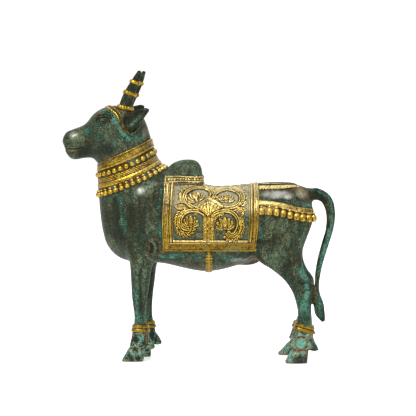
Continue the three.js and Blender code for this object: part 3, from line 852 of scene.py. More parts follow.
def twin_ridge(line, reach, rise):
    """Two rounded ridges side by side, as a split reed, with a moat on both sides."""
    global dark
    distance = distance_to(line, cloth_x, cloth_z, squeeze)
    cut_moat((distance < reach + REED_MOAT) & (distance > 0.8 * reach))
    crown = np.sqrt(np.clip(1 - ((distance - 0.55 * reach) / (0.45 * reach)) ** 2, 0.05, 1))
    lay(distance < reach, GROUND + (rise - GROUND) * crown)
    dark = np.where(distance < 0.18 * reach, 0.8, dark)


def leaf(foot, lean, length, width, rise, vein=0.35, moat=0.65):
    """A pointed leaf that leans from upright, in degrees, with a groove along its middle."""
    turn = math.radians(lean)
    dx, dz = cloth_x - foot[0], (cloth_z - foot[1]) / squeeze
    along = (dx * math.sin(turn) + dz * math.cos(turn)) / length
    across = np.abs(dx * math.cos(turn) - dz * math.sin(turn))
    half = width * np.sin(np.pi * np.clip(along, 0, 1) ** 0.85) ** 0.7
    share = across / np.maximum(half, 1e-3)
    crown = np.sqrt(np.clip(1 - share ** 2, 0, 1)) - vein * soft_bump(across, 0.5)
    beside = (across > 0.9 * half) & (across < half + moat)
    cut_moat((along > 0.05) & (along < 1.05) & beside & (height < rise))
    lay((along > 0) & (along < 1) & (share < 1), LEAF_FOOT + (rise - LEAF_FOOT) * crown)


def feather(line, spacing, length, width, spread_angle, rise=2.3):
    """A row of small leaves that branch off a line."""
    steps = np.concatenate([[0], np.cumsum(np.linalg.norm(np.diff(line, axis=0), axis=1))])
    for reach in np.arange(0.4 * spacing, steps[-1], spacing):
        x, z = (np.interp(reach, steps, line[:, axis]) for axis in (0, 1))
        ahead = [np.interp(reach + 0.5, steps, line[:, axis]) for axis in (0, 1)]
        heading = math.degrees(math.atan2(ahead[0] - x, ahead[1] - z))
        leaf((x, z), heading + spread_angle, length, width, rise)


print("pattern tools ready")

# %% Cloth bands and panel
CLOTH = [(-39, 213), (-42, 162), (-40.5, 128.5), (64.5, 128.5), (67.5, 156), (68.5, 190), (68, 230),
         (4, 230), (4, 212.5)]
PANEL = [(-31.5, 204), (-34, 162), (-32, 139), (58.5, 139), (60.5, 156), (61, 190), (61, 230), (4, 230),
         (4, 206), (-31.5, 206)]
INNER = [(-28, 204), (-30.5, 162), (-28, 142), (56.5, 142), (58, 160), (58.5, 190), (58.5, 230),
         (4, 230), (4, 203.5), (-28, 203.5)]
BORDER_RISE, PANEL_RISE = 1.35, 0.75
cloth_shape, panel_shape, inner_shape = (inside_of(corners) for corners in (CLOTH, PANEL, INNER))
dice = np.random.default_rng(12)
hammered = sum(np.sin(cloth_x * fx + phase) * np.sin(cloth_z * fz + 2 * phase)
               for fx, fz, phase in dice.uniform(0.5, 2.2, (8, 3))) / 8
lay(cloth_shape, BORDER_RISE + 0.1 * hammered)
height = np.where(panel_shape, PANEL_RISE, height)
gilt = np.where(panel_shape, 0.55, gilt)
height = np.where(inner_shape, GROUND + 0.12 * hammered, height)
gilt = np.where(inner_shape, 0.0, gilt)
lower_frame = [(-31.5, 139.8), (58.5, 139.8)]
left_frame = [(-30.5, 205.5), (-33, 162), (-31.5, 139.8)]
right_frame = [(58.5, 139.8), (60, 156), (60.5, 190), (60.5, 230)]
for line in (lower_frame, left_frame, right_frame):
    distance = distance_to(line, cloth_x, cloth_z)
    cut_moat((distance < 2.3) & cloth_shape, 0.6)
    ridge(line, 1.35, 2.5, ground=0.9)
ridge([(-28.3, 204), (-30.7, 162), (-29, 142.5)], 0.7, 1.2, 0.4)
ridge([(56.3, 142.5), (57.6, 160), (58, 190), (58, 230)], 0.7, 1.2, 0.4)
CORD_HEIGHTS = (129.6, 137.2)
CLOTH_EDGES = [
    [(-38.3, 213), (-41.3, 162), (-39.8, 128.5)],
    [(-35, 213), (-37.5, 162), (-36, 138)],
    [(63.9, 128.5), (66.8, 156), (67.8, 190), (67.4, 230)],
    [(62.6, 138), (63.8, 156), (64.2, 230)],
]
for z in CORD_HEIGHTS:
    ridge([(-40.5, z), (65.5, z)], 0.7, 1.9, ground=1.25)
for edge in CLOTH_EDGES:
    ridge(edge, 0.6, 1.85, ground=1.25)
print("share of the sheet that is cloth:", round(float(cloth_shape.mean()), 2))

# %% [markdown]
# ## Chased lines in the bands
#
# The lower band is chased with a double zigzag, and the upright bands with short uneven strokes
# across. Chasing is cut into the finished relief, so these lines sink the height.

# %% Chasing
def chase(shape, wave, depth, blackened):
    """Cuts fine lines where a wave is near nought."""
    global height, dark
    line = np.where(shape, np.clip(1 - np.abs(wave) / 0.45, 0, 1), 0)
    height = height - depth * line
    dark = np.maximum(dark, blackened * line)


low_band = cloth_shape & (cloth_z > 130.3) & (cloth_z < 136.5) & (cloth_x > -35) & (cloth_x < 61.5)
ZIGZAG_STEP, ZIGZAG_HEIGHT = 5.2, 5.0
saw = ZIGZAG_HEIGHT * np.abs((cloth_x / ZIGZAG_STEP) % 1 - 0.5) * 2
dark = np.where(low_band, 0.35 + 0.25 * hammered, dark)
chase(low_band, (saw + 130.6 - cloth_z) / 1.1, depth=0.5, blackened=0.9)
chase(low_band, (saw + 132.8 - cloth_z) / 0.9, depth=0.4, blackened=0.8)
side_band = cloth_shape & ~panel_shape & (cloth_z > 139) & ((cloth_x < -36.5) | (cloth_x > 64))
uneven = np.sin(cloth_z * 1.6 + 1.3 * np.sin(cloth_z * 0.23) + 0.5 * cloth_x)
chase(side_band & (cloth_z < 205) & (hammered > -0.2), uneven * 0.9, depth=0.12, blackened=0.45)
print("chased", int(low_band.sum()), "points of the lower band")

# %% [markdown]
# ## Scrolls, palmette and lotuses
#
# Two scrolls climb from the stem and close into loops, and two arch down on either side and end
# in curled leaves. A palmette, a fan of ribs under a raised crest, is laid over their roots. Every
# lotus is a fan of leaves, laid from the outside in, so that the middle leaf lies on top. It is
# given by its foot, its lean, its size and the angle from leaf to leaf.

# %% Scrolls
UPPER_LEFT = smooth_line([(10, 166.5), (7, 171), (3, 174), (-2, 176), (-7.5, 178.3), (-12, 181),
                          (-15.5, 185.5), (-16.6, 190.5), (-15, 194.4), (-10, 197.2), (-3.5, 198.7),
                          (3, 198.7), (8.5, 197.6), (12.6, 195.2), (14.2, 192), (13.3, 188.5),
                          (10.3, 185.5), (6.5, 183)], 90)
UPPER_RIGHT = smooth_line([(11.5, 167.5), (14.5, 172.5), (19, 175.4), (26, 177), (32.5, 177), (39, 177.6),
                           (44.5, 180), (47.5, 184), (48.2, 188.6), (46, 192.6), (40.5, 195.4), (35, 196.5),
                           (28.5, 196.2), (22.5, 194.2), (18.5, 191.5), (17.2, 188.5)], 90)
LOWER_LEFT = smooth_line([(9.5, 163), (8.2, 167.3), (4.5, 171), (0, 173.3), (-5.5, 174), (-11.5, 173.6),
                          (-16.5, 171), (-19.9, 166.7), (-20.9, 162), (-19.6, 157.2), (-16.5, 154.2),
                          (-12, 153.4)], 60)
LOWER_RIGHT = smooth_line([(12.8, 163), (14.5, 167), (18, 170.4), (23, 172.6), (30, 173.5), (36.3, 172.6),
                           (41.2, 169.3), (44.3, 164.5), (45, 158.5), (43.2, 152.6), (40, 148.4), (36, 147.6),
                           (34, 150.3)], 60)
REED_REACH, REED_RISE = 2.15, 2.5
for scroll in (UPPER_LEFT, UPPER_RIGHT, LOWER_LEFT, LOWER_RIGHT):
    twin_ridge(scroll, REED_REACH, REED_RISE)
print("scrolls laid")

# %% Leaves along the scrolls
acanthus_left = smooth_line([(-15.5, 175), (-21, 171), (-24, 165), (-24.2, 158), (-21.5, 151.5),
                             (-16.5, 148.6), (-11.5, 149.2), (-8.5, 152.5)], 50)
acanthus_right = smooth_line([(48, 164), (48.6, 157), (46.8, 150), (42.5, 145), (36.5, 143.4),
                              (32, 145.4)], 50)
for line, outward in ((acanthus_left, 48), (acanthus_right, -48)):
    ridge(line, 3.0, 1.9, ground=1.2)
    feather(line, 2.9, length=7, width=1.5, spread_angle=0.62 * outward, rise=2.5)
    feather(line + [0, 0.4], 2.9, length=6, width=1.3, spread_angle=-0.42 * outward, rise=2.4)
inner_band = smooth_line([(16.3, 160), (17.5, 165), (21, 168.8), (27, 170.3)], 30)
ridge(inner_band, 1.6, 1.6, ground=1.1)
loop_tip = smooth_line([(20.2, 190.5), (20.6, 187.5), (23.5, 184.5)], 30)
feather(inner_band, 2.6, length=3.4, width=1.3, spread_angle=40)
feather(loop_tip, 2.6, length=3.4, width=1.3, spread_angle=-30)
print("leaves along the scrolls laid")

# %% Palmette
PALMETTE = [(-1.5, 176.5), (1.5, 181.2), (6, 184.2), (11.8, 186.4), (17.5, 184.4), (23, 181.2),
            (27.2, 178.2), (24, 175.8), (17, 173.5), (11, 166.5), (5, 172)]
FAN_FOOT = (11.3, 162)
RIB_ANGLE = 13
UPPER_GROOVE, LOWER_GROOVE = 2.4, 5.6
palmette_shape = inside_of(PALMETTE)
from_outline = distance_to(PALMETTE + PALMETTE[:1], cloth_x, cloth_z, squeeze)
cut_moat((from_outline < 1.1) & inner_shape & ~palmette_shape)
crest = smooth_line(PALMETTE[:7], 40)
under_crest = distance_to(crest, cloth_x, cloth_z, squeeze)
fan_angle = np.degrees(np.arctan2(cloth_x - FAN_FOOT[0], cloth_z - FAN_FOOT[1]))
between_ribs = soft_bump(np.abs((fan_angle / RIB_ANGLE) % 1 - 0.5), 0.13)
groove = soft_bump(np.abs(under_crest - UPPER_GROOVE), 0.6)
groove = groove + 0.8 * between_ribs * (under_crest > UPPER_GROOVE)
groove = np.clip(groove + 0.6 * soft_bump(np.abs(under_crest - LOWER_GROOVE), 0.5), 0, 1)
height = np.where(palmette_shape, 2.5 - 0.7 * groove, height)
gilt = np.where(palmette_shape, 1, gilt)
dark = np.where(palmette_shape, 0.65 * groove, dark)
ridge(crest, 1.7, 3.0)
print("palmette laid")

# %% Lotuses
PETALS = 7


def lotus(foot, lean, size, spread_angle):
    """A lotus seen from the side, laid from its outer leaves inwards."""
    steps = np.arange(PETALS) - (PETALS - 1) / 2
    for step in sorted(steps, key=lambda s: -abs(s)):
        reach = size * (1 - 0.05 * abs(step))
        leaf(foot, lean + step * spread_angle, reach, 0.25 * size, 2.8 - 0.1 * abs(step), moat=0.75)
    stalk = (foot[0] - 2 * math.sin(math.radians(lean)), foot[1] - 2 * math.cos(math.radians(lean)))
    leaf(stalk, lean, 5, 2.4, 2.7, vein=0)


lotus((-9.2, 157.8), 2, 11.8, 27)
lotus((30.0, 155.0), -3, 13.2, 28)
lotus((-2.2, 185.8), -22, 13.2, 26)
lotus((31.2, 184.6), 4, 11.6, 26)
print("lotuses laid")

# %% [markdown]
# ## Stem and corner leaves
#
# The stem is a sheaf of leaves: one row up its middle, and one on either side that leans outwards.
# Small leaves fill the corners between the scrolls, as they do on carved temple friezes, and the
# ground round the upper loops is left hammered and gilded.

# %% Stem and leaves
STEM = [(4.6, 140.5), (4.3, 149), (5, 157), (4.5, 163), (7, 168.5), (14.5, 168.5), (17.8, 163), (18, 149),
        (18.2, 140.5)]
STEM_MIDDLE = 11.2
lay(inside_of(STEM), np.full(cloth_x.shape, 1.35))
for z in np.arange(137.0, 166, 3.3):
    for turn in (-1, 1):
        leaf((STEM_MIDDLE + turn * 2.4, z), turn * 27, 8.2, 1.7, 2.4, moat=0.5)
    sway = math.sin(z)
    leaf((STEM_MIDDLE + 0.8 * sway, z + 1.6), 8 * sway, 7.2, 1.9, 2.6, moat=0.5)
CORNER_LEAVES = [
    ((-15.8, 178.8), -93, 11.5, 3.6), ((-19.2, 182.8), -10, 14.2, 2.3), ((43.3, 176.0), 97, 11.5, 3.6),
    ((50.6, 183.2), 4, 13.5, 2.3), ((-16.5, 182.5), -52, 7.5, 2.2), ((44.5, 180.5), 58, 7.5, 2.2),
    ((-26, 151), 20, 6, 1.5), ((-22, 147), 70, 7, 1.5), ((48.5, 168), 28, 7, 1.6),
    ((44, 144.8), 80, 6.5, 1.5),
]
for foot, lean, length, width in CORNER_LEAVES:
    leaf(foot, lean, length, width, 2.3)
loops = inside_of([tuple(p) for p in UPPER_LEFT]) | inside_of([tuple(p) for p in UPPER_RIGHT])
bare = inner_shape & (height < 0.8) & (dark < 0.5)
near_scroll = np.minimum(distance_to(UPPER_LEFT, cloth_x, cloth_z),
                         distance_to(UPPER_RIGHT, cloth_x, cloth_z))
filled = bare & ~loops & (near_scroll < 6.5 + 8 * hammered) & (cloth_z > 170)
height = np.where(filled, 1.25 + 0.25 * hammered, height)
gilt = np.where(filled, 0.75, gilt)
print("stem and corner leaves laid")

# %% [markdown]
# ## The ridge of the back and the yoke
#
# Over the back, where the photograph cannot see, the border goes on and a row of low lotus
# rosettes runs along the spine. In front the cloth is cut out for the hump, with a beaded yoke
# beside it.

# %% Spine
arc_steps = np.linalg.norm(np.diff(sheet, axis=1), axis=2)
reach_over = np.concatenate([np.zeros((len(sheet), 1)), np.cumsum(arc_steps, axis=1)], axis=1)
reach_over -= reach_over[:, [middle_column]]
SPINE_START, SPINE_END, SPINE_HALF = 5.5, 58, 12
CORD_REACH = 0.8
ROSETTES = np.arange(12, 56, 10.0)
on_top = (np.abs(reach_over) < SPINE_HALF) & (cloth_x > SPINE_START) & (cloth_x < SPINE_END)
height = np.where(on_top, 0.6, height)
gilt = np.where(on_top, 0.1, gilt)
for edge in (1 - SPINE_HALF, SPINE_HALF - 1):
    distance = np.abs(reach_over - edge)
    crown = np.sqrt(np.clip(1 - (distance / CORD_REACH) ** 2, 0, 1))
    lay((distance < CORD_REACH) & (cloth_x > 5) & (cloth_x < SPINE_END), 0.7 + 0.7 * crown, 0.35)
for centre in ROSETTES:
    dx = cloth_x - centre
    radius, angle = np.hypot(dx, reach_over), np.arctan2(reach_over, dx)
    rosette = 3.8 + 0.8 * np.cos(8 * angle)
    dome = 0.8 * np.sqrt(np.clip(1 - (radius / rosette) ** 2, 0, 1))
    lay((radius < rosette) & on_top, 0.8 + dome - 0.4 * soft_bump(np.abs(radius - 1.9), 0.6), 0.8)
print("spine laid")

# %% Yoke
YOKE_END = 4.5
YOKE_BEAD = 1.2
yoke = cloth_shape & (cloth_x < YOKE_END) & (cloth_x > -38.5) & (cloth_z > 205.5)
height = np.where(yoke, 1.1, height)
gilt = np.where(yoke, 0.8, gilt)
dark = np.where(yoke, 0.3, dark)
cut_moat(inner_shape & (cloth_x < YOKE_END) & (cloth_z > 202.5), 0.1)
ridge([(-37.5, 211.6), (4, 211.6)], 0.9, 2.2, ground=1.1)
ridge([(-34, 206.3), (4, 206.3)], 0.8, 2.1, ground=1.1)
for x in np.arange(-34.5, 3.5, 3.3):
    from_bead = np.hypot((cloth_x - x) / 1.25, (cloth_z - 208.9) / 0.95)
    lay(from_bead < YOKE_BEAD, 1.2 + np.sqrt(np.clip(1 - (from_bead / YOKE_BEAD) ** 2, 0, 1)))
print("yoke laid")

# %% [markdown]
# ## Closing the cloth
#
# A grid of faces is laid on the sheet, each point lifted by its height. Where there is no cloth the
# height is below nought, so the grid dips under the body's skin. Inside the body a second line of
# points joins the two lower edges, and both ends are filled, which makes a closed casting. The
# upper flank is marked paler towards the top, a painted highlight of the light from above, and the
# low strip of the panel's frame is marked as bleached.

# %% Saddle cloth object
lifted = sheet + sheet_normal * height[:, :, None]
INSET = 9
inner_left, inner_right = lifted[:, :1].copy(), lifted[:, -1:].copy()
inner_left[:, :, 1] += INSET
inner_right[:, :, 1] -= INSET
wrapped = np.concatenate([inner_left, lifted, inner_right, inner_left], axis=1)
pad = [(0, 0), (1, 2)]
low_strip = panel_shape & ~inner_shape & (cloth_z < 143.5)
# Paler towards the top of the flank: a painted highlight of the light from above. The low strip of the frame
# is marked pale as well.
bleach = np.where(low_strip, 1, np.clip((cloth_z - 166) / 18, 0, 1))
layers = {"rise": np.pad(height, pad), "gilt": np.pad(gilt, pad), "dark": np.pad(dark, pad),
          "bleach": np.pad(bleach, pad)}
bm = bmesh.new()
bmesh.ops.create_grid(bm, x_segments=wrapped.shape[1] - 1, y_segments=wrapped.shape[0] - 1, size=1)
keys = {name: bm.verts.layers.float.new(name) for name in layers}
flat = {name: values.ravel() for name, values in layers.items()}
for count, (vert, point) in enumerate(zip(bm.verts, wrapped.reshape(-1, 3))):
    vert.co = point * MM
    for name, key in keys.items():
        vert[key] = flat[name][count]
bmesh.ops.remove_doubles(bm, verts=bm.verts, dist=1e-6)
bmesh.ops.holes_fill(bm, edges=[e for e in bm.edges if e.is_boundary], sides=0)
bmesh.ops.recalc_face_normals(bm, faces=bm.faces)
cloth = as_object("saddle_cloth", [bm])
shade_smooth(cloth.data)
print("saddle cloth:", len(cloth.data.polygons), "faces")

# %% [markdown]
# ## Bands that run round a form
#
# The collar, the anklets and the horn rings lie on skins that are already described, so they are
# given in the same terms: a closed profile of stations and lifts is carried round the form. A
# profile that starts and ends below the skin has its edges hidden.

# %% Bands round a form
def band_round(place, profile, sides, ripple=None):
    """A closed band: the profile's stations and lifts, carried round. A ripple may add to the lift."""
    rings = []
    for turn in turns_round(sides):
        at, lift = np.array(profile, float).T
        if ripple is not None:
            lift = lift + np.where(lift > 0, ripple(at, turn), 0)
        rings.append(place(at, np.full(len(at), turn), lift))
    return ring_mesh(rings, loop=True)


def evenly_round(place, station, count):
    """Turns that spread a number of beads evenly round a section."""
    turns = np.linspace(0, 2 * np.pi, 721)
    line = place(np.full(len(turns), station), turns)
    run = np.concatenate([[0], np.cumsum(np.linalg.norm(np.diff(line, axis=0), axis=1))])
    return np.interp((np.arange(count) + 0.5) * run[-1] / count, run, turns)


def seat(place, station, turn, lift):
    """A frame on the skin: x along the ring, y down the skin, z outwards."""
    here, aside = place([station, station], [turn, turn + 0.02], lift)
    below = place([station + 0.05], [turn], lift)[0]
    along, down = Vector(aside - here).normalized(), Vector(below - here)
    outward = along.cross(down).normalized()
    middle = place([station, station], [turn, turn + np.pi], 0).mean(axis=0)
    if outward.dot(Vector(here - middle)) < 0:
        along, outward = -along, -outward
    down = outward.cross(along)
    matrix = Matrix((along, down, outward)).transposed().to_4x4()
    matrix.translation = Vector(here) * MM
    return matrix


def copies(pattern, matrices):
    """One bmesh with a copy of the pattern at every matrix."""
    mesh = bpy.data.meshes.new("pattern")
    pattern.to_mesh(mesh)
    pattern.free()
    whole = bmesh.new()
    for matrix in matrices:
        copy = mesh.copy()
        copy.transform(matrix)
        whole.from_mesh(copy)
        bpy.data.meshes.remove(copy)
    bpy.data.meshes.remove(mesh)
    return whole


def lathe(profile, sides):
    """A turned shape: radius and height pairs spun once round, poles closed."""
    bm = bmesh.new()
    verts = [bm.verts.new((radius * MM, 0, rise * MM)) for radius, rise in profile]
    edges = [bm.edges.new(pair) for pair in zip(verts, verts[1:])]
    bmesh.ops.spin(bm, geom=verts + edges, axis=(0, 0, 1), cent=(0, 0, 0), angle=2 * math.pi,
                   steps=sides, use_merge=True)
    bmesh.ops.remove_doubles(bm, verts=bm.verts, dist=1e-6)
    bmesh.ops.recalc_face_normals(bm, faces=bm.faces)
    return bm


def bead(radius, flatness=0.8, fineness=2):
    """A bead that sits in its frame."""
    bm = bmesh.new()
    bmesh.ops.create_icosphere(bm, subdivisions=fineness, radius=radius * MM)
    bmesh.ops.scale(bm, vec=(1, 1, flatness), verts=bm.verts)
    return bm


print("band tools ready")

# %% [markdown]
# ## The collar
#
# The collar has, from the top down: a plain broad band with raised edges, a row of round beads on
# a ribbed ground, three fine corded ridges, a plain moulding and a row of drops with a small bead
# above each. The ground is a thin plate under all of it, and shows dark between the beads. The
# drops are spaced evenly at their bellies, where they are widest.

# %% Neck collar
def underside(low, high):
    """The way back under a band, close along the skin, because the nape is hollow."""
    return [(at, -1.5) for at in np.arange(high, low - 0.01, -0.12)]


ground_plate = [(at, 0.5) for at in np.arange(11.9, 13.95, 0.1)] + [(14.02, 0.3)]
ground_plate += underside(11.9, 14.02)
broad_band = [(11.0, -1.5), (11.0, 1.3), (11.06, 1.75), (11.13, 1.45), (11.3, 1.3), (11.7, 1.3),
              (11.86, 1.45), (11.94, 1.75), (12.02, 1.2), (12.02, -1.5)]
cord = [(0, 0.45), (0.03, 0.95), (0.055, 1.05), (0.08, 0.95), (0.11, 0.45)]
moulding = [(13.04, 0.5), (13.08, 1.1), (13.15, 1.35), (13.26, 1.35), (13.34, 1.1), (13.4, 0.5)]
corded = [(start + across, lift) for start in (12.66, 12.78, 12.9) for across, lift in cord]
corded += moulding + underside(12.66, 13.4)
BEAD_STATION, BEAD_LIFT, BEAD_COUNT = 12.38, 0.8, 30
DROP_STATION, DROP_LIFT, DROP_COUNT = 13.66, 0.75, 35
DROP_BELLY = 13.72


def cord_ripple(at, turn):
    """The slanting cuts of the corded ridges."""
    return 0.12 * np.sin(turn * 62 + at * 26)


def rib_ripple(at, turn):
    """The fine upright ribs of the recess."""
    return 0.16 * np.sin(turn * 70)


collar_forms = [
    band_round(trunk, ground_plate, 420, rib_ripple),
    band_round(trunk, broad_band, 240),
    band_round(trunk, corded, 520, cord_ripple),
]
bead_turns = evenly_round(trunk, BEAD_STATION, BEAD_COUNT)
bead_seats = [seat(trunk, BEAD_STATION, turn, BEAD_LIFT) for turn in bead_turns]
collar_forms.append(copies(bead(3.05, 0.75, 3), bead_seats))
drop = lathe([(0, 3.2), (1.6, 2.8), (2.1, 1.7), (1.6, 0.6), (2.4, 0), (3.1, -1.5), (3.15, -2.9),
              (2.6, -4.1), (1.7, -4.8), (0, -4.9)], 14)
bmesh.ops.rotate(drop, matrix=Matrix.Rotation(math.radians(90), 3, "X"), verts=drop.verts)
drop_turns = evenly_round(trunk, DROP_BELLY, DROP_COUNT)
collar_forms.append(copies(drop, [seat(trunk, DROP_STATION, turn, DROP_LIFT) for turn in drop_turns]))
collar = as_object("neck_collar", collar_forms)
shade_smooth(collar.data)
print("neck collar:", len(collar.data.polygons), "faces")

# %% [markdown]
# ## Straps on the rump
#
# Two straps run back from the cloth to the tail. They are swept along lines of the side view: at
# each step the line is put on the flank with a ray, and the profile is set up across it.

# %% Straps
def on_flank(line, side):
    """Points and normals of a side-view line on the flank."""
    found = [flank(x, z, side) for x, z in line]
    return np.array([place for place, normal in found]), np.array([normal for place, normal in found])


def strap(points, normals, profile, widths=None, ripple=None):
    """Sweeps a profile of across and lift along points that lie on the skin."""
    for _ in range(3):
        normals[1:-1] = (normals[:-2] + 2 * normals[1:-1] + normals[2:]) / 4
        points[1:-1] = (points[:-2] + 2 * points[1:-1] + points[2:]) / 4
    normals /= np.linalg.norm(normals, axis=1)[:, None]
    tangents = np.gradient(points, axis=0)
    across = np.cross(normals, tangents)
    across /= np.linalg.norm(across, axis=1)[:, None]
    rings = []
    for count, (point, normal, aside) in enumerate(zip(points, normals, across)):
        wide = 1.0 if widths is None else widths[count]
        lifts = np.array([lift for _, lift in profile], float)
        if ripple is not None:
            lifts = lifts + np.where(lifts > 0, ripple(count), 0)
        rings.append([point + aside * a * wide + normal * lift for (a, _), lift in zip(profile, lifts)])
    return ring_mesh(np.array(rings))


def seat_on(point, normal, down):
    """A frame on the skin from a point, its normal and a rough downward direction."""
    outward = Vector(normal).normalized()
    along = Vector(down).cross(outward).normalized()
    matrix = Matrix((along, outward.cross(along), outward)).transposed().to_4x4()
    matrix.translation = Vector(point) * MM
    return matrix


print("strap tools ready")

# %% Rump harness
upper_edge = smooth_line([(69, 203.4), (90, 203.7), (104, 203.9), (111, 203), (114, 201.6)], 60)
upper_plate = smooth_line([(69, 200.2), (90, 200.6), (104, 201.2), (113, 201)], 60)
upper_beads = smooth_line([(70.5, 198), (88, 198.5), (100, 199.4), (111, 200.6)], 17)
lower_line = smooth_line([(68.5, 183), (83, 182), (97, 179.5), (110.5, 176), (123, 173.8),
                          (131, 172.6)], 90)
plate_line = smooth_line([(69.4, 174.6), (83, 174), (97, 171.4), (110.5, 168.2), (123, 166.4),
                          (131, 166)], 80)
BELLS = [(71.5, 173.9), (80.5, 173.9), (88.3, 172.9), (96, 171.4), (103.4, 169.7), (110.7, 168),
         (117.4, 166.6), (124, 166), (130, 165.9)]
wide_band = [(-3.3, -1.4), (-3.3, 0.5), (-2.9, 0.85), (2.9, 0.85), (3.3, 0.5), (3.3, -1.4)]
thin_rib = [(-0.6, -1.2), (-0.65, 0.5), (-0.35, 1.0), (0.35, 1.0), (0.65, 0.5), (0.6, -1.2)]
flat_band = [(-3.1, -1.4), (-3.1, 0.9), (-2.6, 1.5), (-1, 1.7), (1, 1.7), (2.6, 1.5), (3.1, 0.9), (3.1, -1.4)]
bell_plate = [(-4.9, -1.4), (-4.9, 0.4), (-4.2, 0.6), (4.2, 0.6), (4.9, 0.4), (4.9, -1.4)]
bell = lathe([(0, 6.4), (1.3, 6.2), (1.9, 5.2), (1.3, 4.2), (2.2, 3.5), (3.4, 1.7), (3.8, -0.6),
              (3.5, -2.8), (2.6, -4.4), (1.4, -4.8), (0.9, -3.8), (0, -3.6)], 16)
bmesh.ops.rotate(bell, matrix=Matrix.Rotation(math.radians(90), 3, "X"), verts=bell.verts)
bell_mesh = bpy.data.meshes.new("bell")
bell.to_mesh(bell_mesh)
bell.free()
DOWN = (0, 0, -1)
STRAP_BEAD_LIFT, BELL_LIFT = 0.9, 1.2
straps = ((upper_plate, wide_band), (upper_edge, thin_rib), (lower_line, flat_band), (plate_line, bell_plate))
harness_forms = []
for side in (LEFT, RIGHT):
    for line, profile in straps:
        harness_forms.append(strap(*on_flank(line, side), profile))
    bead_seats = [seat_on(p + n * STRAP_BEAD_LIFT, n, DOWN) for p, n in zip(*on_flank(upper_beads, side))]
    harness_forms.append(copies(bead(1.5), bead_seats))
    bells = bmesh.new()
    bells.from_mesh(bell_mesh)
    bell_seats = [seat_on(p + n * BELL_LIFT, n, DOWN) for p, n in zip(*on_flank(BELLS, side))]
    harness_forms.append(copies(bells, bell_seats))
harness = as_object("rump_harness", harness_forms)
shade_smooth(harness.data)
print("rump harness:", len(harness.data.polygons), "faces")

# %% [markdown]
# ## Girth, brow band, horn rings and anklets
#
# The girth comes down from the cloth as a leaf and runs under the belly. The brow band crosses the
# forehead from ear to ear. Rings clasp the horns, the lowest one twisted like a rope, and every
# leg has an anklet.

# %% Girth
GIRTH_STEPS = 110
GIRTH_MIDDLE = (11.5, 0, 150)
girth_angles = np.radians(np.linspace(-25.5, -154.5, GIRTH_STEPS))
girth_hits = [hit(GIRTH_MIDDLE, (0, -math.cos(a), math.sin(a))) for a in girth_angles]
girth_points = np.array([place for place, normal in girth_hits])
girth_normals = np.array([normal for place, normal in girth_hits])
from_end = np.minimum(np.arange(GIRTH_STEPS), np.arange(GIRTH_STEPS)[::-1])
girth_widths = np.minimum(1, from_end / 7) ** 0.6 * 0.9 + 0.1
girth_profile = [(-4.1, -1.2), (-4.1, 0.5), (-3.5, 1.1), (-2.7, 1.1), (-2.2, 0.8), (-1.4, 1.3), (0, 1.5),
                 (1.4, 1.3), (2.2, 0.8), (2.7, 1.1), (3.5, 1.1), (4.1, 0.5), (4.1, -1.2)]


def girth_ripple(count):
    """The cuts across the girth."""
    return 0.35 * math.sin(count * 1.7)


girth_form = strap(girth_points, girth_normals, girth_profile, girth_widths, girth_ripple)
girth = as_object("belly_girth", [girth_form])
shade_smooth(girth.data)
print("girth:", len(girth.data.polygons), "faces")

# %% Brow band
BROW_STEPS = 160
head_tree = tree_of(head)
half_brow = [(-80, 26.5, 263.5), (-84.5, 26.5, 266.5), (-88.5, 26, 272.5), (-90.5, 23, 279),
             (-93.5, 20, 284), (-99, 16, 288.8), (-104, 9, 292.5)]
brow_guide = [(x, -y, z) for x, y, z in half_brow] + [(-106, 0, 294)] + half_brow[::-1]
guide = along_curve(brow_guide, np.linspace(0, len(brow_guide) - 1, BROW_STEPS))
brow_hits = [head_tree.find_nearest(Vector(point) * MM)[:2] for point in guide]
brow_points = np.array([np.array(place) / MM for place, normal in brow_hits])
brow_normals = np.array([np.array(normal) for place, normal in brow_hits])
brow_profile = [(-1.7, -1.0), (-1.75, 0.7), (-1.35, 1.15), (-0.95, 0.85), (0.5, 0.95), (1.1, 1.3),
                (1.75, 0.9), (1.7, -1.0)]
brow_widths = 1.1 + 0.7 * np.sin(np.linspace(0, np.pi, BROW_STEPS)) ** 1.2


def brow_ripple(count):
    """The fine cuts across the brow band."""
    return 0.18 * math.sin(count * 1.6)


brow = as_object("brow_band", [strap(brow_points, brow_normals, brow_profile, brow_widths, brow_ripple)])
shade_smooth(brow.data)
print("brow band:", len(brow.data.polygons), "faces")

# %% Horn rings
RING_STATIONS = ((1.83, 2.29), (3.13, 3.57))
ROUND_RING = [(-1, 0), (-0.95, 0.5), (-0.7, 0.85), (-0.25, 1), (0.25, 1), (0.7, 0.85), (0.95, 0.5), (1, 0)]
ROPE_RING = [(0.0, -1.5), (0.0, 0.8), (0.1, 1.8), (0.28, 2.3), (0.45, 1.8), (0.56, 0.8), (0.56, -1.0)]


def rope_ripple(at, turn):
    """The slanting strands of the rope."""
    return 0.4 * np.sin(turn * 14 + at * 6)


ring_forms = []
for side in (LEFT, RIGHT):
    for low, high in RING_STATIONS:
        middle, half = (low + high) / 2, (high - low) / 2
        profile = [(middle + half * across, -0.8 + 2.3 * lift) for across, lift in ROUND_RING]
        ring_forms.append(band_round(horns[side], profile, 64))
    ring_forms.append(band_round(horns[side], ROPE_RING, 120, rope_ripple))
horn_rings = as_object("horn_rings", ring_forms)
shade_smooth(horn_rings.data)
print("horn rings:", len(horn_rings.data.polygons), "faces")

# %% Anklets
def tilted(place, tilt):
    """A skin whose stations run lower behind the leg than before it."""
    return lambda at, turns, lifts: place(at - tilt * np.cos(turns), turns, lifts)


def anklet_ripple(at, turn):
    """A slight unevenness, as wax pressed on by hand has."""
    return 0.07 * np.sin(turn * 17 + at * 9)


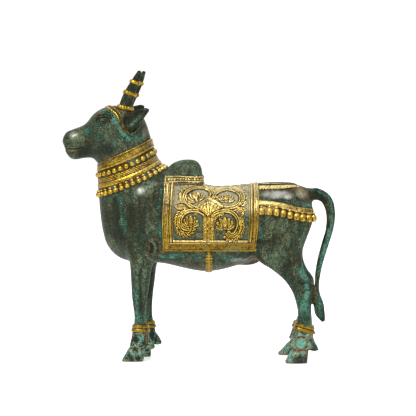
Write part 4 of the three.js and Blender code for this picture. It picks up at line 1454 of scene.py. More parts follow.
TWIN_RING = [(0, -1.2), (0, 1.1), (0.08, 1.6), (0.22, 1.7), (0.36, 1.6), (0.43, 1.15), (0.57, 1.15),
             (0.64, 1.6), (0.78, 1.7), (0.92, 1.6), (1, 1.1), (1, -1.2)]
FRONT_PROUD, HIND_PROUD = 1.1, 1.4
anklet_forms = []
for leg, side, place in legs:
    low, high = leg["anklet"][side]
    proud = HIND_PROUD if leg is HIND else FRONT_PROUD
    profile = [(low + share * (high - low), lift * proud) for share, lift in TWIN_RING]
    anklet_forms.append(band_round(tilted(place, leg["tilt"]), profile, 96, anklet_ripple))
anklets = as_object("anklets", anklet_forms)
shade_smooth(anklets.data)
print("anklets:", len(anklets.data.polygons), "faces")

# %% [markdown]
# ## How deep a place lies
#
# Patina gathers in hollows and is rubbed off ridges, so both finishes need to know how hollow the
# surface is. A vertex that lies lower than the mean of its surroundings is in a hollow. On the
# ornaments, what counts is how far a place stands off the body.

# %% Hollows and rises
def mark_hollows(mesh, times, scale):
    """Writes the attribute hollow: over 0 in a hollow, under 0 on a ridge. The form's own roundness
    shows four times as much over four times the rounds, so it is taken off."""
    points, outward = points_of(mesh), normals_of(mesh)
    near = mean_of_neighbours(mesh, points, times)
    far = mean_of_neighbours(mesh, near, 3 * times)
    depth = np.einsum("ij,ij->i", near - points - (far - points) / 4, outward)
    write_attribute(mesh, "hollow", np.clip(depth / scale, -1, 1))


def mark_rise(mesh, tree):
    """Writes the attribute rise: how far a vertex stands off the bare body, in mm."""
    points = points_of(mesh)
    rises = [tree.find_nearest(Vector(point) * MM)[3] / MM for point in points]
    write_attribute(mesh, "rise", rises)


for thing, times, scale in ((body, 5, 0.12), (head, 6, 0.12), (feet, 6, 0.2), (cloth, 3, 0.12)):
    mark_hollows(thing.data, times, scale)
bare_neck = BVHTree.FromBMesh(skin_form(trunk, stations(10.8, 14.3, 0.1), 120))
for thing, tree in ((collar, bare_neck), (harness, body_tree), (girth, body_tree), (brow, head_tree),
                    (horn_rings, head_tree), (anklets, body_tree)):
    mark_rise(thing.data, tree)
    mark_hollows(thing.data, 2, 0.15)
print("hollows and rises written")

# %% [markdown]
# ## Where the founder's brush goes, and painted light
#
# A founder does not leave the patina to chance. Acid is brushed into the folds and down the
# shanks, where it turns green. Seams are heated until they are brown, clefts and horn tips are
# blackened, and the places that hands and cloths touch are rubbed bright. Light and shade are
# painted with the same strokes: the rubbed places are also painted highlights, a few green strokes
# are painted highlights on the ears, eyes and hind legs, and a few black ones are painted shade
# under the jaw and down the front legs. All of it is painted here as strokes on the side view,
# each a line, its reach and its strength.

# %% Rubbed places and painted highlights
SPOT_DEPTH = 14
# Each spot is rubbed bare metal and also a painted highlight, a pale patch where the light falls brightest.
rubbed_and_highlit_spots = [
    ((118, 24, 194), (13, 10), 0.75), ((88, 38, 193), (27, 8), 0.85), ((103, 34, 191), (11, 6), 1),
    ((-65, 36, 197), (15, 10), 0.5), ((-50, 42, 204), (12, 7), 0.3), ((-143, 14, 259), (12, 9), 0.6),
    ((46, 30, 117), (24, 5), 0.5), ((-62, 22, 262), (6, 13), 0.5), ((-68, 30, 11), (3.6, 6), 0.55),
    ((-86, 22, 287), (6, 5), 0.45), ((118, 44, 13), (4, 3), 0.5),
]


def mark_polish_and_highlight(mesh, spots):
    """Writes an attribute that is 1 in the middle of the spots: places that hands and cloths rub
    bright, which are also painted highlights.
    """
    points = points_of(mesh)
    polish_and_highlight = np.zeros(len(points))
    for (x, y, z), (reach_x, reach_z), strength in spots:
        offset = np.hypot((points[:, 0] - x) / reach_x, (points[:, 2] - z) / reach_z)
        near = np.abs(np.abs(points[:, 1]) - y) < SPOT_DEPTH
        polish_and_highlight = np.maximum(polish_and_highlight, np.where(near, strength * soft_bump(offset, 1), 0))
    write_attribute(mesh, "polish_and_highlight", polish_and_highlight)


print(len(rubbed_and_highlit_spots), "rubbed places")

# %% Green strokes
green_and_highlight_strokes = [
    # Painted highlight: the first stroke lights the back of the hind leg.
    ([(113, 108), (120, 97), (124, 88), (124, 78)], 5, 0.9),
    # The second stroke is a painted highlight on the eye.
    ([(-113, 287), (-106, 290.5), (-100, 289)], 3, 0.8), ([(-109, 280), (-106, 279.6)], 1.3, 1),
    ([(-100, 286), (-95.5, 280), (-92.5, 272), (-88, 262)], 2.2, 1),
    # Painted highlights: the first stroke along the ear's front rim, the second over the upper eyelid.
    ([(-87, 284), (-89, 277), (-86, 270)], 2.4, 0.9), ([(-115, 281), (-109, 284), (-103, 282.5)], 2.2, 0.9),
    # Painted highlight on the lower eyelid.
    ([(-114, 274), (-108, 272.8), (-102, 275)], 1.8, 0.8),
    # The first stroke is a painted highlight along the ear's back rim.
    ([(-65, 284.5), (-71, 278), (-78, 271.5)], 1.7, 0.8), ([(-68.5, 32), (-66, 27)], 5.5, 1),
    ([(-77, 10), (-75, 5)], 3, 0.9), ([(-64, 16), (-63, 10)], 3, 0.8),
    ([(-43, 198), (-45, 180), (-44.5, 160), (-43.5, 146)], 2.8, 0.55),
    ([(-88, 206), (-87, 196), (-88, 184)], 7, 0.5), ([(-87, 162), (-85, 154), (-81, 147)], 7, 0.4),
    ([(-54, 140), (-51, 136), (-50, 130)], 4.5, 0.6), ([(-89, 186), (-88, 172), (-87, 160)], 7, 0.3),
    ([(-73, 100), (-72, 70), (-71, 50)], 4, 0.25), ([(-134, 262), (-122, 267), (-112, 274)], 8, 0.4),
    ([(-120, 258), (-108, 258), (-100, 250)], 9, 0.35), ([(-116, 288), (-108, 290)], 5, 0.4),
    ([(-43, 122), (-36, 121), (-30, 121)], 4.5, 0.8), ([(116, 203), (124, 199), (134, 197)], 4.5, 0.6),
    ([(138, 195), (150, 189), (155, 176), (154, 156), (147, 130)], 4.2, 1),
    ([(-112, 284), (-103, 284), (-98, 278)], 3, 0.45), ([(-110, 186), (-104, 188), (-95, 192)], 4, 0.5),
    ([(100, 184.5), (114, 182.5), (128, 180)], 4, 0.7), ([(71, 152), (72, 144), (73, 136)], 6.5, 0.6),
    # The second stroke is a painted highlight down the back of the hind leg.
    ([(64, 132), (74, 126), (84, 119)], 6, 0.4), ([(119, 110), (122, 100), (124, 92)], 5.5, 0.9),
    ([(120, 86), (120, 76), (118, 62)], 6, 0.6), ([(28, 122), (40, 119), (52, 124)], 7, 0.5),
    ([(-30, 124), (-12, 122), (2, 118)], 6, 0.5), ([(-94, 277), (-90, 268), (-84, 262)], 5, 0.6),
    ([(-87, 259), (-78, 255.5), (-66, 257)], 5.5, 0.65), ([(-101, 283), (-97, 276), (-98, 270)], 4.5, 0.5),
    ([(150, 150), (144, 128), (138, 104)], 5, 0.9), ([(140, 84), (139, 66), (142, 56)], 6, 0.5),
    ([(94, 5), (102, 15)], 6, 0.8), ([(103, 10), (105, 4)], 4, 0.8),
    ([(10, 205), (30, 202), (52, 203)], 4, 0.6), ([(116.5, 25.5), (116.5, 21.5)], 7.5, 1),
]
print(len(green_and_highlight_strokes), "green strokes")

# %% Brown strokes
warm_strokes = [
    ([(109, 199), (118, 196), (127, 188)], 8, 0.5), ([(-134, 258), (-126, 254)], 2, 0.4),
    ([(-114, 277), (-110, 275.2), (-105, 276.6)], 1.3, 0.9), ([(115, 76), (121, 79.5)], 1.2, 0.9),
    ([(-61, 27), (-59.5, 23), (-60.5, 20)], 1.8, 1), ([(-71, 38), (-70, 34)], 2, 0.9),
    ([(-90, 0.5), (-60, 0.5)], 1.6, 1), ([(98, 0.5), (125, 0.5)], 1.6, 1),
    ([(-56, 139), (-52, 142.5), (-47, 141)], 2, 0.9),
    ([(-44.5, 133), (-43.5, 128), (-44.5, 123)], 2.6, 0.9),
    ([(-92, 290), (-85, 285.5), (-79, 282)], 4.2, 0.55), ([(52, 110), (60, 109), (68, 112)], 3.5, 0.6),
    ([(60, 118), (67, 116), (73, 112)], 4.5, 1), ([(-118, 283.5), (-112, 289.5), (-105, 293)], 2.2, 1),
    ([(-157, 244), (-147, 243.5), (-134, 245.5)], 1.6, 0.9), ([(-60, 272), (-57, 262), (-55, 252)], 6, 0.5),
    ([(-116, 280), (-109, 283.5), (-101, 281)], 2.2, 0.3),
    ([(-113, 276), (-108, 275.5), (-103, 277)], 1.6, 0.35), ([(133, 88), (133.5, 78), (133, 70)], 2.2, 1),
    ([(-112, 236), (-106, 233), (-98, 236)], 4, 0.5), ([(-10, 113), (8, 105), (20, 103)], 2.5, 0.6),
    ([(-76, 33), (-66, 31), (-58, 33)], 2.6, 0.8), ([(110, 31), (118, 30), (127, 31)], 2.4, 0.8),
    ([(108, 15), (116, 15.5), (124, 15)], 2.6, 1), ([(-80, 15), (-72, 15.5), (-64, 15)], 2, 0.6),
]
warm_strokes += [(line, 1.3, 0.5) for line in RUMP_FAN]
warm_strokes.append((circle_line((116.5, 23.5), 6.8, 20), 1.7, 0.65))
print(len(warm_strokes), "brown strokes")

# %% Black strokes
black_and_shade_strokes = [
    # The first stroke is painted shade under the jaw.
    ([(-134, 242), (-120, 240), (-106, 244)], 14, 1.05), ([(-98, 150), (-92, 138), (-80, 128)], 12, 0.3),
    ([(-120, 258), (-112, 254)], 9, 0.25),
    ([(-118, 277), (-114, 282.5), (-107, 284), (-100, 281.5)], 1.6, 1.2),
    ([(-115, 272.5), (-108, 271)], 1.6, 0.8), ([(134, 193), (141, 190), (146, 184)], 2.6, 0.9),
    ([(150.5, 162), (149.5, 153)], 1.8, 1.1), ([(147, 147), (144, 140)], 1.6, 1),
    ([(139, 119), (137.5, 111)], 1.5, 1), ([(139, 92), (143, 84)], 2, 0.9),
    ([(118, 80), (122, 84), (126, 84)], 1.6, 1.1), ([(114, 92), (117, 96)], 1.4, 0.9),
    # The first stroke darkens the middle of the front leg: dark streaks and painted shade.
    ([(-67, 112), (-67.5, 84), (-67, 56)], 2.6, 0.6), ([(-80, 316), (-73, 327)], 7, 0.7),
    ([(-73.5, 27), (-71, 22.5)], 2.4, 1.2), ([(-75, 15), (-72, 13.5)], 2.4, 1.2),
    ([(-80, 8), (-77, 4)], 3.2, 1.1), ([(-116, 278), (-109, 281.5), (-101, 279)], 1.7, 1),
    ([(-115, 275), (-108, 273.5), (-102, 275.5)], 1.7, 0.9), ([(-109.5, 278.5), (-108, 278)], 2.2, 0.9),
    ([(-154.5, 257), (-151, 256.5)], 1.3, 1), ([(-88, 301), (-80, 298)], 9, 0.5),
    ([(-82, 315), (-74, 312)], 7, 0.7), ([(-76, 327), (-68, 326)], 6, 0.9),
    ([(-71, 334), (-66, 334)], 6, 1), ([(-82, 278), (-76, 281), (-67, 286.5)], 6.5, 1.1),
    ([(-57.5, 289.5), (-63.5, 280), (-70, 273), (-78, 266.5)], 1.5, 1.2),
    ([(-85, 288), (-73, 291), (-58, 291)], 1.6, 0.9), ([(64, 141), (72, 139), (78, 140)], 4, 0.9),
    ([(118, 92), (125, 93), (128, 88)], 3.5, 0.9), ([(137, 196), (147, 190)], 6, 0.55),
    ([(158, 178), (157, 158), (151, 134)], 2.6, 0.7), ([(142, 60), (145, 46)], 6, 1),
    ([(111, 4), (123, 5)], 9, 1.25), ([(127, 27), (132, 19)], 4.5, 0.8), ([(-80, 5), (-68, 4)], 6, 0.4),
    ([(-97, 172), (-93, 158), (-86, 142)], 7, 0.35), ([(-75, 176), (-72, 160), (-71, 146)], 9, 0.6),
    # The second stroke darkens the middle of the front leg: dark streaks and painted shade.
    ([(-50, 200), (-49, 186)], 6, 0.45), ([(-66, 106), (-66, 80), (-67, 56)], 4.6, 0.5),
    ([(-84, 285), (-70, 290.5), (-58, 290)], 2, 0.8), ([(-60, 120), (-56, 96), (-59, 70)], 4, 0.5),
]
print(len(black_and_shade_strokes), "black strokes")

# %% Paint the bronze
# The spots, the green and the black carry painted highlights and painted shade as well as the patina.
for thing in (body, head, feet):
    mark_polish_and_highlight(thing.data, rubbed_and_highlit_spots)
    paint(thing.data, "teal", green_and_highlight_strokes)
    paint(thing.data, "warm", warm_strokes)
    paint(thing.data, "dark", black_and_shade_strokes)
print("bronze painted")

# %% [markdown]
# ## What the gilding needs to know
#
# The bells' mouths and the lower ends of the brow band lie in shade, which is painted dark there.
# Higher up on the rump the gold is painted paler, a painted highlight of the light from above, and
# it is paler towards the back of the collar too.

# %% Paint the gilding
# Painted shade: the bells' mouths and the brow band's lower ends are painted dark.
bell_mouths = [([(x, z - 1.2), (x, z - 2.2)], 1.7, 0.9) for x, z in BELLS]
brow_ends = [([(-88, 276), (-86, 270), (-80, 264)], 7.0, 0.6)]
shaded = {harness: bell_mouths, brow: brow_ends}
for thing in (harness, collar, girth, brow, horn_rings, anklets):
    paint(thing.data, "dark", shaded.get(thing, []))
    x, z = points_of(thing.data)[:, 0], points_of(thing.data)[:, 2]
    # Higher on the rump's straps the gold is paler, a painted highlight; the collar is paler towards its
    # back.
    pale = {harness: (z - 166) / 24, collar: 0.3 * (x + 85) / 25}.get(thing, 0 * x)
    write_attribute(thing.data, "bleach", np.clip(pale, 0, 1))
print("gilding painted")

# %% [markdown]
# ## Working with nodes
#
# Both finishes are built in the same way. Cloudy patterns and painted places are turned into
# shares between 0 and 1, and each share lays one more colour over the ones below. A small class
# holds the nodes of one material, so that each such step is one short line.

# %% Node helpers
class Finish:
    """The nodes of a material or of the world, and short ways to add to them. A socket is named by
    its number where others of its node share its name."""

    def __init__(self, owner):
        owner.use_nodes = True
        self.nodes, self.links = owner.node_tree.nodes, owner.node_tree.links
        self.main = self.nodes.get("Principled BSDF")

    def feed(self, socket, value):
        """Sets a socket to a value, or links it where the value comes from another node."""
        if isinstance(value, bpy.types.NodeSocket):
            self.links.new(value, socket)
        else:
            socket.default_value = value

    def node(self, kind, inputs=None, **settings):
        """A node with some of its settings and sockets filled in."""
        made = self.nodes.new(kind)
        for key, value in settings.items():
            setattr(made, key, value)
        for key, value in (inputs or {}).items():
            self.feed(made.inputs[key], value)
        return made

    def painted(self, name):
        """The value of an attribute."""
        return self.node("ShaderNodeAttribute", attribute_name=name).outputs["Fac"]

    def noise(self, place, scale, detail, roughness, distortion=0.0):
        """A cloudy pattern of a given scale per metre."""
        made = self.node("ShaderNodeTexNoise", {"Vector": place, "Scale": scale, "Detail": detail,
                                                "Roughness": roughness, "Distortion": distortion})
        return made.outputs["Fac"]

    def cells(self, place, scale):
        """How far a point is from the borders of crumbly cells."""
        wobble = self.node("ShaderNodeTexNoise", {"Vector": place, "Scale": 1.7 * scale, "Detail": 2.0})
        amount = (0.7 / scale,) * 3
        bent = self.node("ShaderNodeVectorMath", {0: wobble.outputs["Color"], 1: amount, 2: place},
                         operation="MULTIPLY_ADD")
        made = self.node("ShaderNodeTexVoronoi", {"Vector": bent.outputs[0], "Scale": scale},
                         feature="DISTANCE_TO_EDGE")
        return made.outputs["Distance"]

    def spread(self, source, low, high, start=0.0, end=1.0):
        """Maps a value from low..high to start..end, and stops there."""
        made = self.node("ShaderNodeMapRange", {0: source, 1: low, 2: high, 3: start, 4: end},
                         clamp=True, interpolation_type="SMOOTHSTEP")
        return made.outputs[0]

    def mix(self, share, one, other):
        """One colour going over into the other as the share grows."""
        return self.node("ShaderNodeMix", {0: share, 6: one, 7: other}, data_type="RGBA").outputs[2]

    def times(self, one, other):
        """Two values multiplied, and kept between 0 and 1."""
        made = self.node("ShaderNodeMath", {0: one, 1: other}, operation="MULTIPLY", use_clamp=True)
        return made.outputs[0]

    def plus(self, one, other):
        """Two values added, and kept between 0 and 1."""
        made = self.node("ShaderNodeMath", {0: one, 1: other}, operation="ADD", use_clamp=True)
        return made.outputs[0]


print("node helpers ready")

# %% [markdown]
# ## Patinated bronze
#
# The skin is bronze under a thin green-black patina. It is laid in coats, as the founder lays it:
# a dark grey-green skin with runs and clouds, verdigris in the hollows and down the legs, a pale
# rind on the feet, then brown, cracks and black, and last the bare metal where hands rub, which
# is also a painted highlight. A few of the green and black strokes are painted light as well.

# %% Patterns of the patina
class Patina(Finish):
    """The bronze's finish, with the patterns that its coats share."""

    def __init__(self, owner):
        super().__init__(owner)
        place = self.node("ShaderNodeTexCoord").outputs["Object"]
        drawn_out = self.node("ShaderNodeMapping", {"Vector": place, "Scale": (1, 1, 0.22)}).outputs[0]
        self.height = self.node("ShaderNodeSeparateXYZ", {"Vector": place}).outputs[2]
        self.runs = self.noise(drawn_out, 120, 5, 0.65, 0.5)
        self.streaks = self.noise(drawn_out, 75, 4, 0.65, 0.4)
        self.clouds = self.noise(place, 26, 5, 0.6, 0.6)
        self.blotches = self.noise(place, 95, 3, 0.55, 1.0)
        self.patches = self.noise(place, 150, 6, 0.75, 0.8)
        self.freckles = self.noise(place, 300, 5, 0.7, 1.5)
        self.mottle = self.noise(place, 420, 5, 0.75, 0.6)
        self.specks = self.noise(place, 640, 4, 0.7)
        self.fine = self.noise(place, 850, 3, 0.6)
        self.grain = self.noise(place, 1500, 2, 0.5)
        self.crackle = self.cells(place, 430)
        self.scales = self.cells(place, 62)
        self.hollow = self.painted("hollow")
        # Painted attributes; the spots, the green and the black also hold painted highlights and painted
        # shade.
        self.teal, self.warm, self.dark = (self.painted(name) for name in ("teal", "warm", "dark"))
        self.polish_and_highlight = self.painted("polish_and_highlight")


print("patterns ready")

# %% Dark skin
def dark_skin(patina):
    """Grey green that is nearly black between the mottling, in clouds and patches."""
    tone = patina.times(patina.spread(patina.mottle, 0.44, 0.57, 0.35, 1.0),
                        patina.spread(patina.fine, 0.42, 0.58, 0.5, 1.0))
    tone = patina.times(tone, patina.spread(patina.runs, 0.43, 0.57, 0.5, 1.0))
    tone = patina.times(tone, patina.spread(patina.streaks, 0.4, 0.56, 0.5, 1.2))
    olive, sage, shade = (0.205, 0.215, 0.115, 1), (0.15, 0.215, 0.128, 1), (0.008, 0.012, 0.007, 1)
    bright = patina.mix(patina.spread(patina.clouds, 0.4, 0.6), olive, sage)
    base = patina.mix(tone, shade, bright)
    dark_cloud = patina.spread(patina.clouds, 0.5, 0.36, 0.0, 0.6)
    base = patina.mix(dark_cloud, base, (0.014, 0.022, 0.014, 1))
    dark_patch = patina.spread(patina.patches, 0.52, 0.64, 0.0, 0.55)
    return patina.mix(dark_patch, base, (0.016, 0.02, 0.012, 1))


print("dark skin ready")

# %% Verdigris
GREEN_LOW, GREEN_HIGH = 0.02, 0.12


def verdigris(patina, base):
    """Green that grows denser down the legs and where green is painted: where the acid was
    brushed, and as painted highlights on the ears' rims, the eyes and the backs of the hind legs.
    Gives its share too.
    """
    lowness = patina.spread(patina.height, GREEN_LOW, GREEN_HIGH, 1.0, 0.0)
    # Painted green counts here: brushed acid, and painted highlights on the ears' rims, the eyes and the hind
    # legs' backs.
    green_and_highlight_share = patina.plus(patina.times(patina.teal, 0.5), patina.times(lowness, 0.4))
    green_cloud = patina.plus(patina.spread(patina.runs, 0.62, 0.35, 0.16, 0.46), green_and_highlight_share)
    green_share = patina.spread(patina.times(green_cloud, patina.freckles), 0.2, 0.34)
    base = patina.mix(patina.times(green_share, 0.85), base, (0.022, 0.12, 0.085, 1))
    pale = patina.spread(patina.times(patina.specks, green_cloud), 0.3, 0.42, 0.0, 0.75)
    return patina.mix(pale, base, (0.12, 0.28, 0.2, 1)), green_share


print("verdigris ready")

# %% Rind on the feet
def crusted_feet(patina, base):
    """A thick rind below the anklets: pale, scaly and blotched, and green on the fetlocks' bosses."""
    foot_share = patina.spread(patina.height, 0.05, 0.03)
    rind = patina.times(foot_share, patina.spread(patina.patches, 0.38, 0.52))
    base = patina.mix(patina.times(rind, 0.75), base, (0.2, 0.33, 0.22, 1))
    sole_pale = patina.times(patina.spread(patina.height, 0.018, 0.01),
                             patina.spread(patina.runs, 0.5, 0.58, 0.0, 0.8))
    base = patina.mix(sole_pale, base, (0.42, 0.4, 0.28, 1))
    border = patina.times(foot_share, patina.spread(patina.scales, 0.06, 0.02, 0.0, 0.8))
    border = patina.times(border, patina.spread(patina.mottle, 0.4, 0.55))
    base = patina.mix(border, base, (0.16, 0.09, 0.04, 1))
    pale_spot = patina.times(foot_share, patina.spread(patina.blotches, 0.57, 0.61, 0.0, 0.6))
    base = patina.mix(pale_spot, base, (0.36, 0.46, 0.33, 1))
    blots = patina.times(foot_share, patina.spread(patina.blotches, 0.46, 0.41, 0.0, 0.9))
    base = patina.mix(blots, base, (0.015, 0.018, 0.012, 1))
    boss = patina.times(foot_share, patina.spread(patina.teal, 0.25, 0.7))
    boss = patina.times(boss, patina.spread(patina.mottle, 0.36, 0.52, 0.35, 0.95))
    return patina.mix(boss, base, (0.16, 0.42, 0.33, 1))


print("rind ready")

# %% Brown, cracks and black
def browned_blackened_and_shaded(patina, base):
    """Rusty freckles and heated seams, dark cracks, worn ridges, grooves and black specks, and the
    painted black, part of which is painted shade under the jaw and down the front legs.
    """
    rusty = patina.spread(patina.freckles, 0.42, 0.34, 0.0, 0.85)
    base = patina.mix(rusty, base, (0.11, 0.045, 0.02, 1))
    warmth = patina.times(patina.warm, patina.spread(patina.mottle, 0.35, 0.55, 0.25, 1))
    base = patina.mix(warmth, base, (0.2, 0.1, 0.045, 1))
    cracks = patina.times(patina.spread(patina.crackle, 0.2, 0.03),
                          patina.spread(patina.clouds, 0.62, 0.42, 0.25, 0.8))
    base = patina.mix(cracks, base, (0.012, 0.014, 0.009, 1))
    worn = patina.spread(patina.hollow, -0.3, -1.0, 0.0, 0.45)
    base = patina.mix(worn, base, (0.2, 0.17, 0.1, 1))
    groove = patina.spread(patina.hollow, 0.2, 0.75, 0.0, 0.9)
    base = patina.mix(groove, base, (0.02, 0.014, 0.008, 1))
    # Painted black, part of it painted shade under the jaw and down the front legs.
    black = patina.plus(patina.spread(patina.specks, 0.46, 0.405, 0.0, 0.9), patina.times(patina.dark, 0.8))
    return patina.mix(black, base, (0.012, 0.014, 0.01, 1))


print("brown and black ready")

# %% Patinated bronze
def patinate(patina):
    """Lays all coats and joins them to the main shader."""
    base, green_share = verdigris(patina, dark_skin(patina))
    base = browned_blackened_and_shaded(patina, crusted_feet(patina, base))
    # Rubbed bare metal and painted highlights: pale grey, tan where brown is painted, over the patina at the
    # spots.
    rubbed_and_highlit = patina.times(patina.polish_and_highlight, patina.spread(patina.runs, 0.68, 0.36, 0.35, 1.25))
    rubbed_and_highlit = patina.spread(rubbed_and_highlit, 0.06, 1.0, 0.0, 0.85)
    bare_metal_and_highlight = patina.mix(patina.warm, (0.42, 0.42, 0.37, 1), (0.38, 0.3, 0.15, 1))
    relief = patina.plus(patina.times(patina.specks, 0.5), patina.times(patina.grain, 0.3))
    relief = patina.plus(relief, patina.spread(patina.crackle, 0.0, 0.2, 0.0, 0.2))
    pits = patina.spread(patina.polish_and_highlight, 0.0, 0.7, 0.8, 0.1)
    bump = patina.node("ShaderNodeBump", {"Distance": 0.001, "Strength": pits, "Height": relief})
    for name, value in (
            ("Base Color", patina.mix(rubbed_and_highlit, base, bare_metal_and_highlight)),
            ("Metallic", patina.plus(patina.spread(green_share, 0, 1, 0.32, 0.1), rubbed_and_highlit)),
            ("Roughness", patina.spread(patina.patches, 0.3, 0.75, 0.32, 0.52)),
            ("Specular IOR Level", 0.12),
            ("Specular Tint", (0.4, 0.42, 0.36, 1)),
            ("Normal", bump.outputs[0])):
        patina.feed(patina.main.inputs[name], value)


bronze = bpy.data.materials.new("patinated_bronze")
patinate(Patina(bronze))
print("bronze ready")

# %% [markdown]
# ## Rubbed gilding
#
# The ornaments are gilded over a brown ground. The gold stays bright on what stands proud, turns
# deep and brown lower down, and is gone in the grooves, where brown and green show. On the cloth
# the panel's ground was never gilded, so a share of gilding is read from an attribute.

# %% Gold and its wear
class Gilding(Finish):
    """The ornaments' finish, with the patterns that the gold and its ground share."""

    def __init__(self, owner):
        super().__init__(owner)
        place = self.node("ShaderNodeTexCoord").outputs["Object"]
        self.height = self.node("ShaderNodeSeparateXYZ", {"Vector": place}).outputs[2]
        self.clouds = self.noise(place, 60, 5, 0.6, 0.8)
        self.patches = self.noise(place, 330, 5, 0.72, 0.5)
        self.specks = self.noise(place, 700, 3, 0.65)
        self.grain = self.noise(place, 1400, 3, 0.6)
        self.hollow, self.rise = self.painted("hollow"), self.painted("rise")
        self.bleach, self.dark = self.painted("bleach"), self.painted("dark")


def gold_colour(gilding):
    """Deep gold, brightest on edges, duller low down, and pale where marked: as a painted highlight on
    the upper rump and upper flank, towards the back of the collar, and on the cloth's low frame.
    """
    deep, clear = (0.24, 0.135, 0.007, 1), (0.5, 0.312, 0.028, 1)
    gold = gilding.mix(gilding.spread(gilding.clouds, 0.35, 0.7), deep, clear)
    gold = gilding.mix(gilding.spread(gilding.patches, 0.5, 0.36, 0.0, 0.6), gold, (0.57, 0.4, 0.08, 1))
    edge = gilding.spread(gilding.hollow, -0.15, -0.85, 0.0, 0.75)
    gold = gilding.mix(edge, gold, (0.88, 0.625, 0.14, 1))
    lowness = gilding.spread(gilding.height, 0.165, 0.13, 0.0, 0.75)
    gold = gilding.mix(lowness, gold, (0.22, 0.132, 0.008, 1))
    # Paler where marked: on the upper rump and flank this is a painted highlight.
    bleached = gilding.times(gilding.bleach, gilding.spread(gilding.patches, 0.6, 0.38, 0.3, 0.9))
    return gilding.mix(gilding.times(bleached, 0.8), gold, (0.72, 0.6, 0.3, 1))


def wear_and_shade(gilding, brown_below, gold_above):
    """How far the gold is gone, from 0 to 1: in depths, hollows, patches and where dark is painted,
    which is blackened lines on the cloth and painted shade in the bells' mouths and at the brow
    band's ends.
    """
    depth = gilding.plus(gilding.spread(gilding.rise, gold_above, brown_below, 0.0, 0.9),
                         gilding.spread(gilding.hollow, 0.0, 0.45, 0.0, 1.0))
    depth = gilding.plus(depth, gilding.spread(gilding.patches, 0.5, 0.66, 0.0, 0.7))
    depth = gilding.plus(depth, gilding.spread(gilding.specks, 0.44, 0.36, 0.0, 0.6))
    # The painted dark adds to it: blackened lines on the cloth, and painted shade in the bells' mouths and at
    # the brow band's ends.
    return gilding.plus(depth, gilding.dark)


def bare_ground(gilding):
    """The cloth's bronze ground: nearly black, greener in clouds, and pale with dust where marked,
    which on the upper flank is a painted highlight.
    """
    shade, olive = (0.028, 0.032, 0.016, 1), (0.11, 0.12, 0.065, 1)
    ground = gilding.mix(gilding.spread(gilding.patches, 0.4, 0.62), shade, olive)
    ground = gilding.mix(gilding.spread(gilding.clouds, 0.5, 0.65), ground, (0.03, 0.09, 0.065, 1))
    # Pale with dust in the frame's low strip, and a painted highlight towards the top of the flank.
    dust_and_highlight = gilding.times(gilding.bleach, gilding.spread(gilding.patches, 0.62, 0.42, 0.2, 0.85))
    ground = gilding.mix(dust_and_highlight, ground, (0.36, 0.32, 0.2, 1))
    ground = gilding.mix(gilding.spread(gilding.hollow, 0.1, 0.8), ground, (0.02, 0.016, 0.01, 1))
    return gilding.mix(gilding.dark, ground, (0.02, 0.014, 0.008, 1))


print("gold ready")

# %% Rubbed gilding
def gild(gilding, brown_below, gold_above, bronze_ground=False):
    """Gold on what stands proud, brown in the depths, joined to the main shader."""
    depth = wear_and_shade(gilding, brown_below, gold_above)
    brown_share = gilding.spread(depth, 0.1, 0.9)
    base = gilding.mix(brown_share, gold_colour(gilding), (0.036, 0.022, 0.004, 1))
    green = gilding.times(gilding.spread(depth, 0.6, 1.0),
                          gilding.spread(gilding.clouds, 0.56, 0.62, 0.0, 0.6))
    base = gilding.mix(green, base, (0.04, 0.15, 0.11, 1))
    if bronze_ground:
        gold_share = gilding.spread(gilding.painted("gilt"), 0.1, 0.9)
        base = gilding.mix(gold_share, bare_ground(gilding), base)
    relief = gilding.plus(gilding.times(gilding.patches, 0.6), gilding.times(gilding.grain, 0.4))
    bump = gilding.node("ShaderNodeBump", {"Strength": 0.6, "Distance": 0.0006, "Height": relief})
    for name, value in (
            ("Base Color", base),
            ("Metallic", gilding.spread(depth, 0.2, 1.0, 0.9, 0.15)),
            ("Roughness", gilding.spread(gilding.clouds, 0.3, 0.7, 0.26, 0.42)),
            ("Specular IOR Level", 0.12),
            ("Normal", bump.outputs[0])):
        gilding.feed(gilding.main.inputs[name], value)


rubbed_gold = bpy.data.materials.new("rubbed_gilding")
gild(Gilding(rubbed_gold), brown_below=0.45, gold_above=1.15)
cloth_gold = bpy.data.materials.new("rubbed_gilding_cloth")
gild(Gilding(cloth_gold), brown_below=0.5, gold_above=1.25, bronze_ground=True)
print("gilding ready")

# %% Give each piece its finish
for thing in (body, head, feet):
    thing.data.materials.append(bronze)
for thing in (collar, harness, girth, brow, horn_rings, anklets):
    thing.data.materials.append(rubbed_gold)
cloth.data.materials.append(cloth_gold)
frame["nodes"]["nandi_bull"].data.materials.clear()
frame["nodes"]["nandi_bull"].data.materials.append(bronze)
print("materials given")

# %% [markdown]
# ## Floor and light
#
# The photograph is a product shot on pure white. White paper all round would flood the metal with
# light, so the studio is bright above and behind the bull and dim on the camera's side. A soft
# lamp high on the left draws the highlights, and a weaker one on the right fills the shadows. The
# paper floor glows a little, as a light table does, so that no hard shadow is left, and it is
# glossy enough to hold a faint reflection.

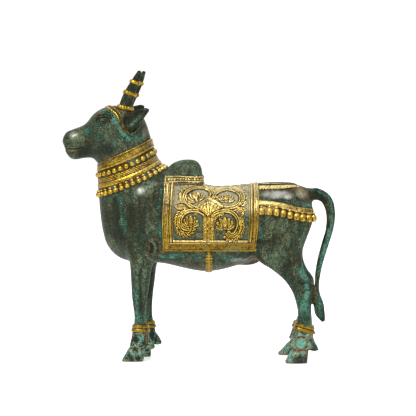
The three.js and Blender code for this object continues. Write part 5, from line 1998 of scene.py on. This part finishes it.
# %% Floor
FLOOR_SIZE = 6
FLOOR_GLOW = 0.45
floor_mesh = bpy.data.meshes.new("floor")
bm = bmesh.new()
bmesh.ops.create_grid(bm, x_segments=1, y_segments=1, size=FLOOR_SIZE)
bm.to_mesh(floor_mesh)
bm.free()
floor = bpy.data.objects.new("floor", floor_mesh)
bpy.context.scene.collection.objects.link(floor)
paper = bpy.data.materials.new("floor_paper")
paper_main = Finish(paper).main
paper_main.inputs["Base Color"].default_value = (0.9, 0.9, 0.9, 1)
paper_main.inputs["Roughness"].default_value = 0.3
paper_main.inputs["Emission Color"].default_value = (1, 1, 1, 1)
paper_main.inputs["Emission Strength"].default_value = FLOOR_GLOW
floor_mesh.materials.append(paper)
print("floor laid")

# %% Studio light
def soft_box(name, place, aim, size, power):
    """A square lamp that looks at a point."""
    lamp_data = bpy.data.lights.new(name, "AREA")
    lamp_data.size = size
    lamp_data.energy = power
    lamp = bpy.data.objects.new(name, lamp_data)
    lamp.location = place
    lamp.rotation_euler = (Vector(aim) - Vector(place)).to_track_quat("-Z", "Y").to_euler()
    bpy.context.scene.collection.objects.link(lamp)


world = bpy.data.worlds.new("studio")
bpy.context.scene.world = world
sky = Finish(world)
outlook = sky.node("ShaderNodeTexCoord").outputs["Generated"]
direction = sky.node("ShaderNodeSeparateXYZ", {"Vector": outlook})
above = sky.spread(direction.outputs[2], 0.25, 0.85, 0.0, 1.0)
behind = sky.spread(direction.outputs[1], 0.0, 0.75, 0.16, 1.08)
glow = sky.node("ShaderNodeMath", {0: above, 1: behind}, operation="ADD")
background = sky.nodes["Background"]
sky.feed(background.inputs["Strength"], glow.outputs[0])
background.inputs["Color"].default_value = (1, 1, 1, 1)
soft_box("key_light", (-0.55, -0.95, 1.25), aim=(0, 0, 0.17), size=0.45, power=20)
soft_box("fill_light", (0.9, -1.3, 0.7), aim=(0, 0, 0.15), size=0.9, power=5)
bpy.context.scene.view_settings.view_transform = "Standard"
print("studio ready")

# %% [markdown]
# ## Handing over
#
# Every piece rides on the one body. The bare bull and the cloth together stand in for the solid.

# %% Hand over
for thing in (body, head, feet, cloth, collar, harness, girth, brow, horn_rings, anklets):
    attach(thing, "root")
    print(thing.name, len(thing.data.polygons), "faces")
for thing in (body, head, feet, cloth):
    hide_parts("nandi_bull")
